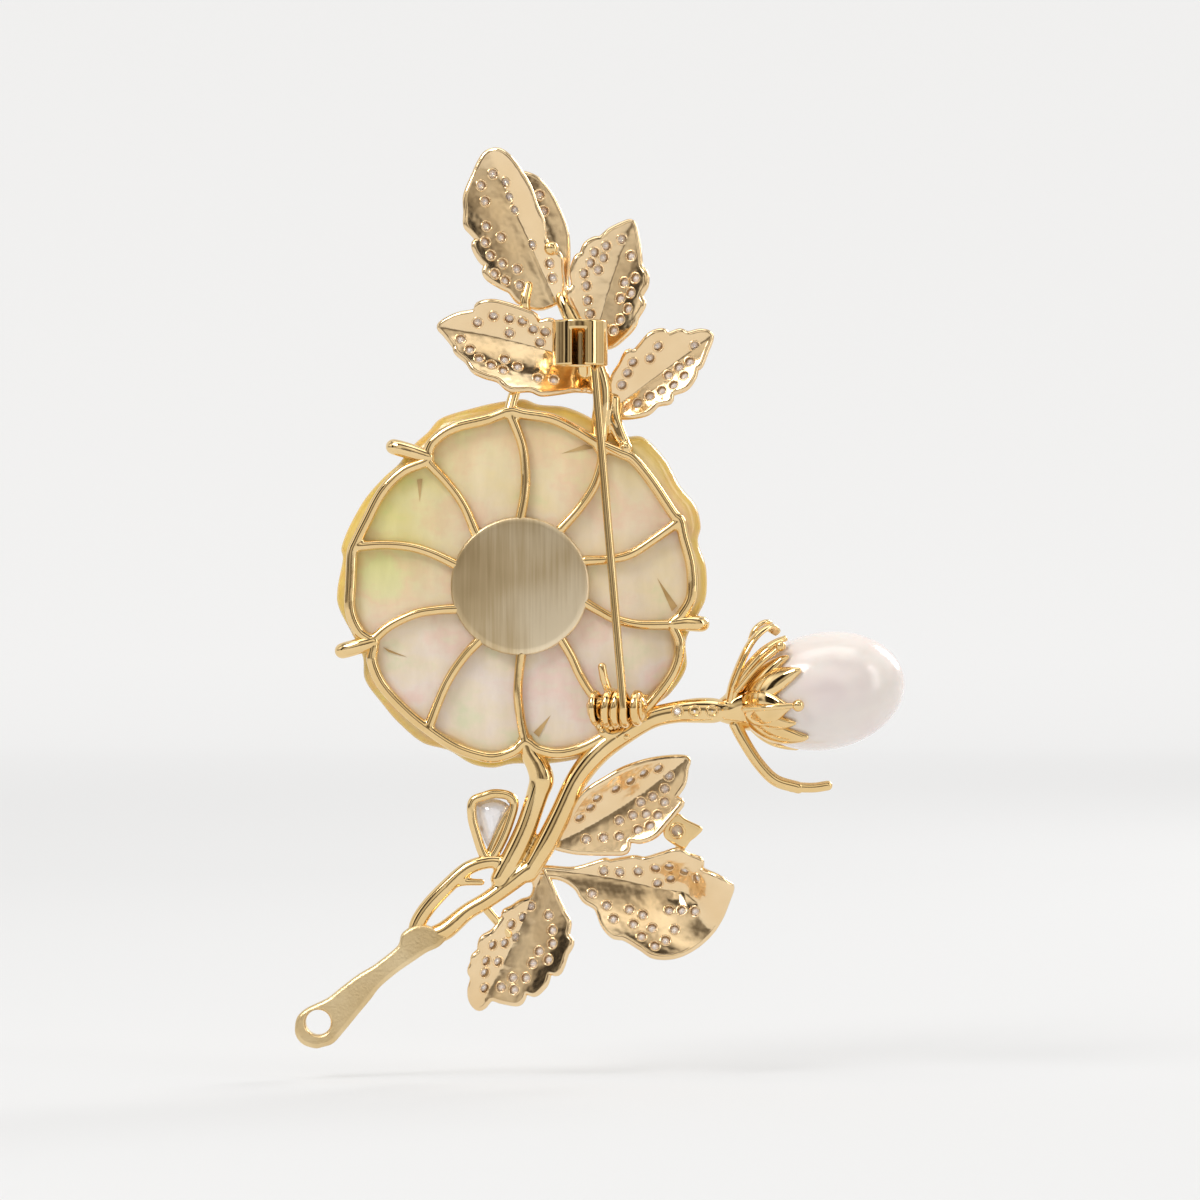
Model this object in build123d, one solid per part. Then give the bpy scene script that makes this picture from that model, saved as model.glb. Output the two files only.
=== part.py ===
from build123d import *
from math import asin, cos, radians, sin
import os

# Flower-spray brooch, in mm. +Z is up as worn, +Y points out of the back towards the
# wearer, the flower faces -Y. The origin is the centre of the hub disc's flat back face.
# Points are written (across, up): across runs to the right as the back is looked at,
# so it is -X, and up is Z. A third number is the height out of the back, along +Y.

# Cage behind the flower
hub_r = 5.2
hub_thick = 1.0
rim_r = 0.42
spoke_r = 0.38
claw_r = 0.5
cage_y = -0.42

# Mother-of-pearl flower
shell_back_y = -0.8
shell_edge_y = -3.0
shell_front_y = -3.8
flower_boss_r = 3.4
petal_count = 10

# Stems and leaves
stem_y = -0.7
bar_thick = 1.5
eye_r = 0.95
branch_r = 0.8
leaf_thick = 0.8
stone_r = 0.4
seat_hole_r = 0.32

# Hinged pin, its joint and its catch
pin_r = 0.32
coil_r = 1.2
coil_pitch = 0.72
coil_turns = 2.5
joint_turn = 15.0
rivet_r = 0.8
rivet_at = (7.36, -9.1, 1.9)
ear_r = 1.38
catch_r = 2.1
catch_wall = 0.35
catch_at = (4.5, 16.4, 2.3)
catch_long = 3.4
pin_tip = (5.4, 18.7, 1.35)

# Bud
pearl_at = (22.9, -7.9, -1.6)
pearl_long = 6.1
pearl_wide = 4.45
pearl_lift = 11.0


def at(across, up, out=0.0):
    return Vector(-across, out, up)


def slab(outline, low, high):
    face = make_face(Polyline(*[at(a, u, low) for a, u in outline], close=True))
    return extrude(face, amount=high - low, dir=(0, 1, 0))


def smooth_slab(outline, low, high):
    face = make_face(Spline(*[at(a, u, low) for a, u in outline], periodic=True))
    return extrude(face, amount=high - low, dir=(0, 1, 0))


def rod(points, r):
    spots = [at(*p) for p in points]
    body = Pos(spots[0]) * Sphere(1.03 * r)
    for low, high in zip(spots, spots[1:]):
        run = high - low
        straight = Cylinder(r, run.length, align=(Align.CENTER, Align.CENTER, Align.MIN))
        body += Plane(origin=low, z_dir=run).location * straight
        body += Pos(high) * Sphere(1.03 * r)
    return body


def bow(start, middle, end, r):
    arc = ThreePointArc(at(*start), at(*middle), at(*end))
    return sweep(Plane(origin=arc @ 0, z_dir=arc % 0) * Circle(r), path=arc)


def ball(point, r):
    return Pos(at(*point)) * Sphere(r)


def turned(profile, plane):
    face = make_face(Plane.XZ * Polyline(*[(r, h) for r, h in profile], close=True))
    return plane.location * revolve(face, Axis.Z)


# Brilliant-cut pave stone, table up its own +Z, resting on a ledge at height 0.
stone_profile = [(0, -0.3), (seat_hole_r - 0.02, 0), (stone_r, 0), (stone_r, 0.14), (0.26, 0.34), (0, 0.34)]


def set_leaf(outline, base, tip, y, bow, stones):
    """Leaf blade bent like a trough about its midrib, with drilled seats, and its stones."""
    start = at(*base, y)
    run = at(*tip, y) - start
    frame = Plane(origin=start, x_dir=Vector(0, 1, 0).cross(run), z_dir=run)
    length = run.length
    tube = Cylinder(bow + leaf_thick / 2, 2.2 * length) - Cylinder(bow - leaf_thick / 2, 2.2 * length)
    trough = frame.location * (Pos(0, bow, length / 2) * tube)
    blade = slab(outline, y - 1.0, y + 0.75 * bow) & trough
    gems = []
    seats = []
    for a, u in stones:
        local = frame.to_local_coords(at(a, u, y))
        angle = asin(local.X / bow)
        spot = frame.from_local_coords(Vector(local.X, bow - bow * cos(angle), local.Z))
        normal = frame.x_dir * sin(angle) - frame.y_dir * cos(angle)
        seat = Plane(origin=spot, z_dir=normal)
        gems.append(turned(stone_profile, seat))
        seats.append(seat.location * Cylinder(seat_hole_r, 3))
        seats.append(seat.location * (Pos(0, 0, 1) * Cylinder(stone_r, 2)))
    return blade, gems, seats


parts = {}

# ---------------------------------------------------------------- cage
parts["hub_disc"] = Pos(0, -hub_thick / 2, 0) * Rot(90, 0, 0) * Cylinder(hub_r, hub_thick)

rim_nodes = [(-0.8, 13.1), (6.0, 10.6), (12.0, 4.9), (11.5, -2.9), (7.9, -10.3), (0.4, -11.6),
             (-6.9, -10.7), (-11.1, -4.2), (-12.6, 2.9), (-7.0, 9.7)]
rim_bulges = [(2.8, 12.5), (9.6, 8.1), (12.9, 0.8), (11.7, -6.5), (4.6, -12.0), (-3.2, -12.6),
              (-10.1, -8.0), (-12.8, -1.0), (-10.7, 6.7), (-4.4, 12.2)]
cage_rim = None
for i, node in enumerate(rim_nodes):
    following = rim_nodes[(i + 1) % len(rim_nodes)]
    piece = bow((*node, cage_y), (*rim_bulges[i], cage_y), (*following, cage_y), rim_r)
    piece += ball((*node, cage_y), rim_r + 0.04)
    cage_rim = piece if cage_rim is None else cage_rim + piece

spoke_paths = [[(0.0, 5.0), (0.4, 9.0), (-0.8, 13.1)],
               [(3.2, 4.2), (5.5, 7.4), (6.0, 10.6)],
               [(4.9, 1.9), (8.6, 2.5), (12.0, 4.9)],
               [(4.8, -1.3), (8.0, -2.75), (11.5, -2.9)],
               [(2.6, -3.2), (4.5, -6.9), (7.9, -10.3)],
               [(0.1, -5.0), (-0.2, -8.3), (0.4, -11.6)],
               [(-3.0, -3.9), (-5.5, -7.0), (-6.9, -10.7)],
               [(-4.7, -1.7), (-8.0, -2.2), (-11.1, -4.2)],
               [(-4.8, 1.6), (-8.5, 2.9), (-12.6, 2.9)],
               [(-3.3, 3.9), (-4.7, 7.1), (-7.0, 9.7)]]
spokes = []
for inner, middle, outer in spoke_paths:
    spokes.append(bow((*inner, cage_y), (*middle, cage_y), (*outer, cage_y), spoke_r))

# Each claw is one hooked strip: out over the edge of the shell, down its side, in across its front.
claw_lines = [((-7.3, 9.9), (-9.9, 10.75)), ((-11.4, -4.3), (-13.8, -5.1)), ((11.7, -2.9), (14.2, -2.8))]
claws = []
for inner, outer in claw_lines:
    reach = at(*outer) - at(*inner)
    far = reach.length
    hook = Polyline((0, 0), (far, 0), (far, -3.9), (far - 1.7, -3.9), (far - 1.7, -3.25), (far - 0.75, -3.25),
                    (far - 0.75, -0.84), (0, -0.84), close=True)
    side = Plane(origin=at(*inner), x_dir=reach, z_dir=reach.cross(Vector(0, 1, 0)))
    claws.append(extrude(side * make_face(hook), amount=claw_r, both=True))

# ---------------------------------------------------------------- carved flower
shell_outline = [(-7.0, 11.6), (-5.9, 12.7), (-3.3, 13.5), (-1.5, 13.9), (0.2, 14.1), (1.4, 13.7),
                 (3.4, 13.5), (5.3, 12.7), (6.6, 11.7), (7.9, 11.3), (9.3, 11.2), (10.9, 9.6),
                 (12.0, 7.6), (13.2, 6.1), (13.6, 4.5), (13.4, 3.3), (14.0, 1.4), (14.0, -0.8),
                 (13.4, -2.2), (12.5, -4.1), (12.5, -6.2), (11.3, -8.1), (9.9, -9.2), (7.9, -11.2),
                 (6.0, -12.5), (4.6, -13.0), (2.0, -13.4), (-0.5, -13.4), (-2.1, -13.7),
                 (-3.7, -13.4), (-5.4, -12.4), (-7.4, -11.8), (-9.2, -10.3), (-10.4, -8.9),
                 (-11.7, -7.1), (-11.9, -5.3), (-12.7, -3.6), (-13.7, -1.6), (-13.8, -0.2),
                 (-13.4, 2.0), (-13.5, 2.9), (-12.9, 4.5), (-11.7, 6.6), (-10.3, 8.2), (-9.2, 9.2),
                 (-8.1, 10.6)]
flower = smooth_slab(shell_outline, shell_edge_y, shell_back_y)
inner_petals = [(a * 0.66, u * 0.66) for a, u in shell_outline]
flower += smooth_slab(inner_petals, shell_front_y, shell_edge_y)
for i in range(petal_count):
    turn = 18 + i * 360 / petal_count
    groove = Pos(9.5, 0, 0) * Box(11, 0.35, 1.0)
    flower -= Pos(0, shell_edge_y, 0) * Rot(0, turn, 0) * Rot(90, 0, 0) * groove
flower -= Pos(0, -2, 0) * Rot(90, 0, 0) * Cylinder(1.2, 8)
parts["flower_boss"] = Pos(0, -2.3, 0) * Rot(90, 0, 0) * Cylinder(1.2, 2.6)
dome = Pos(0, -3.6, 0) * Rot(90, 0, 0) * Cylinder(flower_boss_r, 0.9)
dome += Pos(0, -4.7, 0) * Rot(90, 0, 0) * Cone(flower_boss_r, 1.9, 1.3)
parts["flower_boss"] += dome
boss_gems = []
for i in range(9):
    turn = radians(i * 40)
    place = (2.65 * cos(turn), -4.68, 2.65 * sin(turn))
    facing = (0.45 * cos(turn), -1, 0.45 * sin(turn))
    boss_gems.append(turned(stone_profile, Plane(origin=place, z_dir=facing)))
spot = Plane(origin=(0, -5.3, 0), z_dir=(0, -1, 0))
boss_gems.append(turned([(r * 2.2, h * 2.2) for r, h in stone_profile], spot))
parts["flower_boss"] -= boss_gems
parts["boss_stones"] = boss_gems

# ---------------------------------------------------------------- stems
bar_outline = [(-16.1, -31.7), (-16.7, -32.3), (-16.9, -33.1), (-16.8, -33.8), (-16.3, -34.4),
               (-15.4, -34.7), (-14.8, -34.6), (-14.0, -34.3), (-13.1, -33.3), (-12.2, -32.2),
               (-10.5, -30.1), (-9.2, -29.0), (-7.9, -28.1), (-7.0, -27.5), (-5.8, -27.1),
               (-5.4, -25.9), (-7.5, -25.2), (-8.8, -26.0), (-9.2, -27.0), (-10.5, -28.1),
               (-12.2, -29.2), (-13.4, -30.1), (-14.4, -30.9), (-15.4, -31.4)]
eye_at = (-15.15, -32.75)
bar = smooth_slab(bar_outline, stem_y - bar_thick / 2, stem_y + bar_thick / 2)
bar -= Pos(at(*eye_at, stem_y)) * Rot(90, 0, 0) * Cylinder(eye_r, 5)
parts["main_stem"] = bar

bud_branch = rod([(0.6, -21.6, stem_y), (1.9, -19.4, stem_y), (3.0, -17.2, stem_y), (4.3, -14.5, stem_y),
                  (5.8, -12.4, -0.8), (7.5, -11.2, -0.8), (9.8, -9.9, stem_y), (11.1, -9.4, stem_y),
                  (15.3, -9.4, stem_y)], branch_r)
parts["bud_branch"] = bud_branch
parts["flower_trunk"] = rod([(0.5, -11.9, -0.9), (1.3, -13.4, stem_y), (1.6, -14.7, stem_y),
                             (1.1, -16.1, stem_y), (0.4, -18.3, stem_y), (-0.5, -20.2, stem_y),
                             (-1.5, -22.0, stem_y)], branch_r)
parts["loop_branch"] = rod([(-7.7, -26.2, stem_y), (-7.4, -25.2, stem_y), (-6.8, -24.1, stem_y),
                            (-5.4, -22.6, stem_y), (-3.8, -21.3, stem_y), (-1.6, -20.8, stem_y)], 0.6)
parts["fork_branch"] = rod([(-6.9, -26.4, stem_y), (-5.6, -25.9, stem_y), (-4.0, -24.4, stem_y),
                            (-2.5, -23.6, stem_y), (-1.1, -22.6, stem_y), (0.6, -21.3, stem_y)], 0.7)
twig_outline = [(-5.6, -22.8), (-4.2, -22.6), (-2.9, -22.5), (-2.9, -21.95), (-5.2, -22.0)]
parts["twig_spur"] = slab(twig_outline, -1.0, -0.4)
top_stem = rod([(6.0, 10.6, -0.8), (6.0, 12.8, -0.8), (6.1, 14.5, -0.8), (5.8, 16.1, -0.8),
                (5.0, 18.0, -0.8), (4.0, 19.8, -0.9), (3.2, 21.4, -1.4), (3.2, 22.3, -2.2)], 0.75)
parts["top_stem"] = top_stem
parts["leaf_stalk"] = rod([(8.2, 10.2, -0.9), (7.5, 12.1, -0.9), (7.3, 14.2, -0.9)], 0.5)
parts["stalk_bead"] = ball((8.0, 10.4, -0.5), 0.55)
parts["top_strut"] = rod([(-0.8, 13.1, -0.6), (-0.5, 14.2, -0.8), (-0.5, 15.4, -1.3)], 0.45)
parts["leaf_strut"] = rod([(0.4, 20.4, -1.2), (0.7, 22.2, -1.5)], 0.4)
parts["leaf_rod"] = rod([(-2.9, -23.9, stem_y), (-0.9, -26.2, -1.5)], 0.35)

# ---------------------------------------------------------------- leaves
leaf_rows = {
    "top_leaf": ([(2.9, 21.6), (1.5, 21.0), (0.0, 21.4), (-0.7, 22.2), (-1.3, 22.5), (-2.3, 23.1),
                  (-2.6, 24.1), (-3.4, 25.5), (-3.1, 26.0), (-4.0, 27.1), (-4.0, 29.4), (-3.0, 31.8),
                  (-1.7, 32.7), (-0.4, 31.6), (0.6, 30.0), (1.6, 27.4), (2.3, 25.3), (2.9, 24.8),
                  (3.1, 22.4)],
                 (2.6, 21.6), (-2.4, 32.2), -1.7, 5.6,
                 [(-2.1, 31.0), (-3.0, 30.1), (-2.7, 28.9), (-1.1, 30.4), (-0.8, 29.3), (-0.4, 28.3),
                  (-2.6, 27.0), (-1.5, 26.2), (-2.7, 25.8), (-2.3, 24.8), (-1.4, 24.2), (-2.0, 23.4),
                  (-0.3, 23.8), (-1.2, 22.9), (-0.1, 22.6), (0.9, 25.7), (2.3, 24.3), (2.5, 23.2)]),
    "top_back_leaf": ([(3.3, 21.9), (2.2, 22.4), (1.2, 24.4), (0.4, 27.4), (-0.3, 30.4), (0.0, 31.0),
                       (0.5, 31.0), (1.3, 30.6), (2.2, 29.5), (2.9, 28.1), (3.4, 26.6), (3.5, 24.8),
                       (3.4, 23.1)],
                      (3.2, 21.9), (0.6, 31.0), -2.9, 6.0,
                      [(1.4, 29.5), (1.7, 28.3), (1.4, 27.4)]),
    "upper_right_leaf": ([(8.4, 27.3), (8.9, 24.9), (9.4, 23.4), (9.4, 22.6), (9.0, 21.8), (9.2, 21.1),
                          (8.5, 19.6), (7.9, 18.9), (6.8, 18.1), (5.7, 18.3), (4.7, 19.9), (3.9, 21.4),
                          (3.8, 22.1), (4.1, 22.6), (4.0, 23.6), (4.3, 24.6), (5.0, 25.6), (6.1, 26.1),
                          (7.8, 27.2)],
                         (5.6, 18.3), (8.4, 27.3), -1.6, 5.0,
                         [(7.6, 26.1), (6.4, 25.6), (5.5, 25.1), (6.2, 24.7), (5.2, 24.3), (5.8, 23.8),
                          (4.7, 23.5), (4.9, 22.6), (5.0, 21.5), (5.2, 20.5), (8.4, 24.8), (8.8, 23.1),
                          (7.9, 22.8), (8.4, 22.0), (7.6, 21.6), (8.2, 20.8), (7.6, 20.0), (7.1, 19.2)]),
    "right_leaf": ([(14.3, 18.8), (13.6, 19.1), (12.6, 18.9), (12.0, 19.1), (11.1, 18.8), (10.7, 19.1),
                    (9.8, 18.8), (8.7, 17.6), (8.1, 17.5), (7.1, 15.8), (6.8, 14.8), (6.7, 13.6),
                    (7.5, 12.8), (9.4, 13.0), (10.3, 13.7), (11.2, 13.9), (12.4, 14.9), (13.2, 16.4),
                    (13.9, 17.6)],
                   (6.9, 13.3), (14.3, 18.8), -1.6, 5.0,
                   [(13.1, 18.1), (12.8, 16.8), (12.0, 16.4), (11.2, 15.8), (12.4, 15.7), (11.6, 15.0),
                    (10.7, 14.6), (9.8, 14.2), (8.9, 13.7), (10.3, 18.1), (9.7, 17.2), (8.4, 16.9),
                    (8.0, 16.1), (7.6, 15.2)]),
    "left_leaf": ([(-6.0, 19.6), (-4.8, 20.3), (-3.4, 20.6), (-3.1, 21.1), (-2.2, 21.3), (-1.1, 21.1),
                   (0.9, 20.4), (1.4, 19.8), (2.8, 19.6), (5.6, 17.6), (5.6, 15.0), (4.0, 14.8),
                   (1.6, 14.5), (0.8, 14.8), (-0.7, 14.8), (-1.6, 15.5), (-2.6, 15.8), (-3.4, 16.2),
                   (-3.9, 16.9), (-4.7, 17.6), (-4.9, 18.1), (-5.6, 19.0)],
                  (5.6, 16.6), (-6.0, 19.4), -1.8, 5.6,
                  [(-3.2, 19.9), (-2.0, 20.4), (-0.8, 20.2), (1.0, 19.4), (-0.8, 19.1), (1.9, 19.2),
                   (1.5, 18.4), (-4.5, 18.5), (-3.8, 17.7), (-3.1, 17.0), (-2.2, 16.5), (-1.2, 16.95),
                   (-1.3, 16.1), (-0.2, 16.4), (1.3, 15.5), (2.5, 15.4)]),
    "lower_fold_leaf": ([(12.4, -13.0), (10.1, -13.1), (8.0, -13.7), (6.5, -14.5), (5.0, -15.5),
                         (3.9, -17.1), (3.0, -18.5), (2.2, -18.9), (2.3, -19.6), (3.9, -19.9), (6.8, -20.0),
                         (7.9, -19.9), (8.2, -19.1), (9.1, -19.1), (10.1, -18.7), (10.9, -17.8),
                         (12.1, -16.3), (11.6, -15.9), (12.2, -14.9), (12.4, -13.8)],
                        (3.2, -19.2), (12.4, -13.2), -1.7, 4.6,
                        [(10.3, -13.6), (9.2, -13.9), (8.2, -14.4), (7.1, -15.1), (5.7, -15.7),
                         (5.2, -16.5), (4.4, -17.3), (11.2, -14.3), (10.9, -15.3), (10.0, -15.9),
                         (10.9, -16.3), (9.1, -16.3), (8.5, -17.4), (9.5, -17.2), (10.4, -17.3),
                         (7.5, -17.7), (9.8, -18.1), (8.9, -18.4), (5.0, -19.1), (6.3, -19.0),
                         (7.5, -18.9)]),
    "lower_curl_leaf": ([(1.0, -21.0), (3.9, -21.3), (5.2, -21.1), (6.4, -20.7), (8.5, -20.5),
                         (10.7, -20.2), (11.8, -19.9), (12.7, -20.3), (13.5, -20.6), (13.6, -21.3),
                         (14.7, -21.8), (15.8, -22.6), (15.5, -23.6), (15.0, -24.9), (14.2, -26.1),
                         (13.0, -27.1), (11.6, -27.7), (10.1, -27.7), (9.1, -27.1), (7.9, -26.4),
                         (7.0, -26.2), (6.3, -25.4), (5.8, -24.2), (4.9, -23.6), (4.0, -22.3),
                         (1.0, -21.9)],
                        (2.4, -21.2), (15.2, -24.6), -1.7, 6.0,
                        [(6.3, -21.4), (7.5, -21.5), (8.9, -21.4), (10.2, -21.1), (11.2, -20.9),
                         (12.4, -21.3), (11.3, -21.9), (10.3, -22.3), (13.4, -21.9), (5.5, -23.4),
                         (6.5, -24.1), (7.0, -25.1), (8.2, -24.4), (9.2, -24.8), (8.5, -25.5),
                         (9.9, -25.8), (9.1, -26.5), (11.2, -24.5), (12.2, -24.5), (13.2, -24.5),
                         (11.6, -25.9), (10.9, -26.7), (10.1, -27.1)]),
    "bottom_leaf": ([(1.6, -21.2), (0.8, -21.6), (1.1, -22.7), (0.9, -23.5), (-0.5, -24.2),
                     (-1.2, -24.8), (-1.9, -25.9), (-2.7, -26.4), (-3.0, -27.4),
                     (-3.4, -27.8), (-3.7, -28.9), (-3.5, -29.5),
                     (-3.7, -30.4), (-3.2, -31.7), (-2.2, -31.0), (-0.1, -31.3), (0.4, -30.5),
                     (1.1, -30.6), (1.9, -29.8), (2.2, -29.0), (2.8, -29.0), (3.4, -27.6), (3.8, -26.7),
                     (3.5, -26.2), (3.6, -25.3), (3.1, -24.3), (2.3, -22.9)],
                    (1.7, -21.9), (-2.8, -31.4), -1.7, 4.8,
                    [(0.8, -24.1), (0.1, -24.9), (-0.8, -25.4), (-2.2, -26.9), (-1.3, -26.8),
                     (-2.7, -28.1), (-1.8, -28.2), (-2.8, -29.0), (-2.8, -30.2), (2.2, -24.8),
                     (2.5, -25.9), (2.5, -26.9), (1.5, -27.5), (2.2, -28.1), (1.0, -28.4),
                     (0.5, -29.5), (-0.5, -29.5), (-1.4, -30.2), (-0.4, -30.4)]),
}
cutters = {}
for name, row in leaf_rows.items():
    blade, gems, seats = set_leaf(*row)
    parts[name] = blade
    parts[name.replace("_leaf", "_stones")] = gems
    cutters[name] = seats + gems

# Granule at the top leaf's edge.
parts["granule"] = ball((2.35, 25.35, -0.4), 0.55)

# Stones along the bud branch.
branch_gems = []
branch_seats = []
seat_profile = [(0, -3), (seat_hole_r, -3), (seat_hole_r, 0), (stone_r + 0.01, 0), (stone_r + 0.01, 2), (0, 2)]
for a in (11.8, 13.1, 14.4):
    seat = Plane(origin=at(a, -9.4, stem_y - 0.4), z_dir=(0, -1, 0))
    branch_gems.append(turned(stone_profile, seat))
    branch_seats.append(turned(seat_profile, seat))
parts["branch_stones"] = branch_gems

# ---------------------------------------------------------------- pear and round settings
pear_outline = [(-3.6, -16.2), (-2.7, -15.75), (-1.9, -15.6), (-0.5, -15.8), (-0.2, -16.3), (-0.7, -17.7),
                (-1.4, -19.2), (-2.3, -20.6), (-2.9, -20.3), (-3.4, -18.6), (-3.7, -17.4)]
pear_stone_outline = [(-2.8, -16.7), (-2.0, -16.4), (-1.2, -16.8), (-1.5, -17.8), (-2.2, -19.0),
                      (-2.7, -17.9)]
pear = smooth_slab(pear_stone_outline, -2.3, -0.9)
parts["pear_bezel"] = smooth_slab(pear_outline, -2.1, -0.3) - pear
pear_window = [(a * 0.8 - 0.4, u * 0.8 - 3.52) for a, u in pear_stone_outline]
parts["pear_bezel"] -= smooth_slab(pear_window, -1, 1)
parts["pear_stone"] = pear
round_outline = [(11.1, -17.5), (11.8, -17.1), (13.0, -18.0), (13.8, -18.3), (13.5, -18.7), (12.9, -19.1),
                 (12.4, -19.9), (11.8, -19.6), (10.7, -18.7)]
round_at = at(11.8, -18.4, -1.6)
round_seat = Plane(origin=round_at, z_dir=(0, -1, 0))
round_gem = turned([(r * 1.6, h * 1.6) for r, h in stone_profile], round_seat)
round_bezel = slab(round_outline, -2.1, -0.7) - round_gem
parts["round_bezel"] = round_bezel - round_seat.location * Cylinder(0.5, 5)
parts["round_stone"] = round_gem
parts["bezel_post"] = rod([(12.1, -19.4, -1.5), (11.9, -20.5, -1.5)], 0.4)

# ---------------------------------------------------------------- bud
lift = radians(pearl_lift)
pearl_plane = Plane(origin=at(*pearl_at), x_dir=(-cos(lift), 0, sin(lift)), z_dir=(0, 1, 0))


def ovoid(grow):
    half = EllipticalCenterArc((0, 0), pearl_long + grow, pearl_wide + grow, 0, arc_size=180)
    return revolve(make_face([half, Line(half @ 1, half @ 0)]), Axis.X)


pearl = pearl_plane.location * ovoid(0)
cup_shell = pearl_plane.location * (ovoid(0.7) - ovoid(0.02))
peg = pearl_plane.location * (Pos(-5.6, 0, 0) * Rot(0, 90, 0) * Cylinder(0.45, 3.6))
neck = pearl_plane.location * (Pos(-6.3, 0, 0) * Rot(0, 90, 0) * Cone(0.85, 2.6, 2.6))
parts["pearl_peg"] = peg
parts["pearl"] = pearl - peg
parts["calyx_cup"] = neck - pearl_plane.location * ovoid(0.02) - peg
broad = [(16.0, -7.6), (18.2, -6.6), (20.4, -5.9), (20.9, -6.6), (20.0, -7.0), (20.9, -7.5), (18.4, -8.3),
         (16.6, -8.8)]
low = [(17.2, -10.2), (19.0, -10.6), (20.6, -11.3), (20.9, -12.4), (19.4, -12.2), (17.4, -11.6)]
parts["back_sepals"] = [slab(broad, -1.6, 4) & cup_shell, slab(low, -1.6, 4) & cup_shell]
upper_front = [(16.2, -7.2), (20.6, -6.4), (21.2, -7.8), (16.6, -9.0)]
lower_front = [(16.6, -9.6), (21.0, -9.8), (20.6, -11.6), (17.0, -11.2)]
parts["front_sepals"] = [slab(upper_front, -9, -1.8) & cup_shell, slab(lower_front, -9, -1.8) & cup_shell]
curled_outline = [(15.2, -8.6), (15.4, -6.9), (16.2, -4.9), (17.3, -3.3), (18.7, -2.7), (19.7, -3.5),
                  (19.0, -3.9), (18.0, -3.9), (17.3, -5.1), (16.8, -6.9), (16.9, -8.4)]
parts["curled_sepal"] = slab(curled_outline, -1.7, -0.9)
parts["tendril"] = rod([(16.2, -10.6, -1.2), (17.0, -12.3, -1.0), (18.3, -13.9, -0.9), (19.8, -14.9, -0.9),
                        (21.4, -15.2, -0.9), (23.2, -15.0, -0.9)], 0.45)
stamens = []
stamen_rows = [((16.9, -6.9, 1.1), (19.6, -4.4, 1.6), 0.42), ((17.3, -9.1, 1.7), (20.8, -8.9, 3.3), 0.46)]
for root, head, bead in stamen_rows:
    filament = at(*head) - at(*root)
    wire = Cylinder(0.25, filament.length, align=(Align.CENTER, Align.CENTER, Align.MIN))
    wire += Pos(0, 0, filament.length) * Sphere(bead)
    stamens.append(Plane(origin=at(*root), z_dir=filament).location * wire)
parts["stamens"] = stamens

# ---------------------------------------------------------------- hinged pin and catch
turn = radians(joint_turn)
along = Vector(-cos(turn), sin(turn), 0)
outward = Vector(sin(turn), cos(turn), 0)
pivot = at(*rivet_at)
coil_start = pivot + along * coil_pitch
coil_frame = Plane(origin=coil_start, x_dir=outward, z_dir=-along)
coil_path = Helix(coil_pitch, coil_pitch * coil_turns, coil_r, lefthand=True)
coil = sweep(Plane(origin=coil_path @ 0, z_dir=coil_path % 0) * Circle(pin_r), path=coil_path)
stem_start = coil_start + outward * coil_r
tip = at(*pin_tip)
stem_run = tip - stem_start
point = 1.6
shank = stem_run.length - point
stem = Pos(0, 0, shank / 2) * Cylinder(pin_r, shank)
stem += Pos(0, 0, shank + point / 2) * Cone(pin_r, 0.12, point)
stem += Sphere(1.03 * pin_r)
tail_start = coil_start - along * (coil_pitch * coil_turns) - outward * coil_r
tail_turn = coil_frame.location * Pos(coil_path % 1)
tail_rise = tail_start + (tail_turn.position - coil_start) * 1.35
rise = tail_rise - tail_start
tail = Pos(0, 0, rise.length / 2) * Cylinder(pin_r, rise.length)
tail += Sphere(1.03 * pin_r)
tail += Pos(0, 0, rise.length) * Sphere(1.03 * pin_r)
tail = Plane(origin=tail_start, z_dir=rise).location * tail
leg = at(6.15, -6.05, 0.75) - tail_rise
tail += Plane(origin=tail_rise, z_dir=leg).location * (Pos(0, 0, leg.length / 2) * Cylinder(pin_r, leg.length))
pin_wire = coil_frame.location * coil + Plane(origin=stem_start, z_dir=stem_run).location * stem
parts["pin_wire"] = pin_wire + tail

joint_frame = Plane(origin=pivot, x_dir=along, z_dir=(0, 0, 1))
left_ear = (-2.05, -1.47)
right_ear = (1.12, 1.82)
ears = []
ear_blocks = []
for inner, outer in (left_ear, right_ear):
    wide = outer - inner
    block = Pos((inner + outer) / 2, 0.825, 0) * Box(wide + 0.02, 1.67, 2.22)
    ear_blocks.append(joint_frame.location * block)
    ear = Pos((inner + outer) / 2, 0, 0) * Rot(0, 90, 0) * Cylinder(ear_r, wide)
    ear += Pos((inner + outer) / 2, 0.825, 0) * Box(wide, 1.65, 2.2)
    ears.append(ear)
heads = left_ear[0], right_ear[1]
rivet_profile = [(0, heads[0] - 0.3), (0.55, heads[0] - 0.3), (0.95, heads[0]), (rivet_r, heads[0]),
                 (rivet_r, heads[1]), (0.95, heads[1]), (0.55, heads[1] + 0.3), (0, heads[1] + 0.3)]
rivet = turned(rivet_profile, Plane(origin=pivot, x_dir=(0, 0, 1), z_dir=along))
plate = Pos(-0.12, 1.85, 0) * Box(heads[1] - heads[0], 0.4, 2.4)
parts["hinge_rivet"] = rivet
parts["joint_ears"] = [joint_frame.location * (ear - Rot(0, 90, 0) * Cylinder(rivet_r, 8)) for ear in ears]
parts["joint_base"] = [joint_frame.location * plate, rod([(6.0, -10.4, -0.5), (6.6, -11.3, -0.5)], 0.5)]

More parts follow.
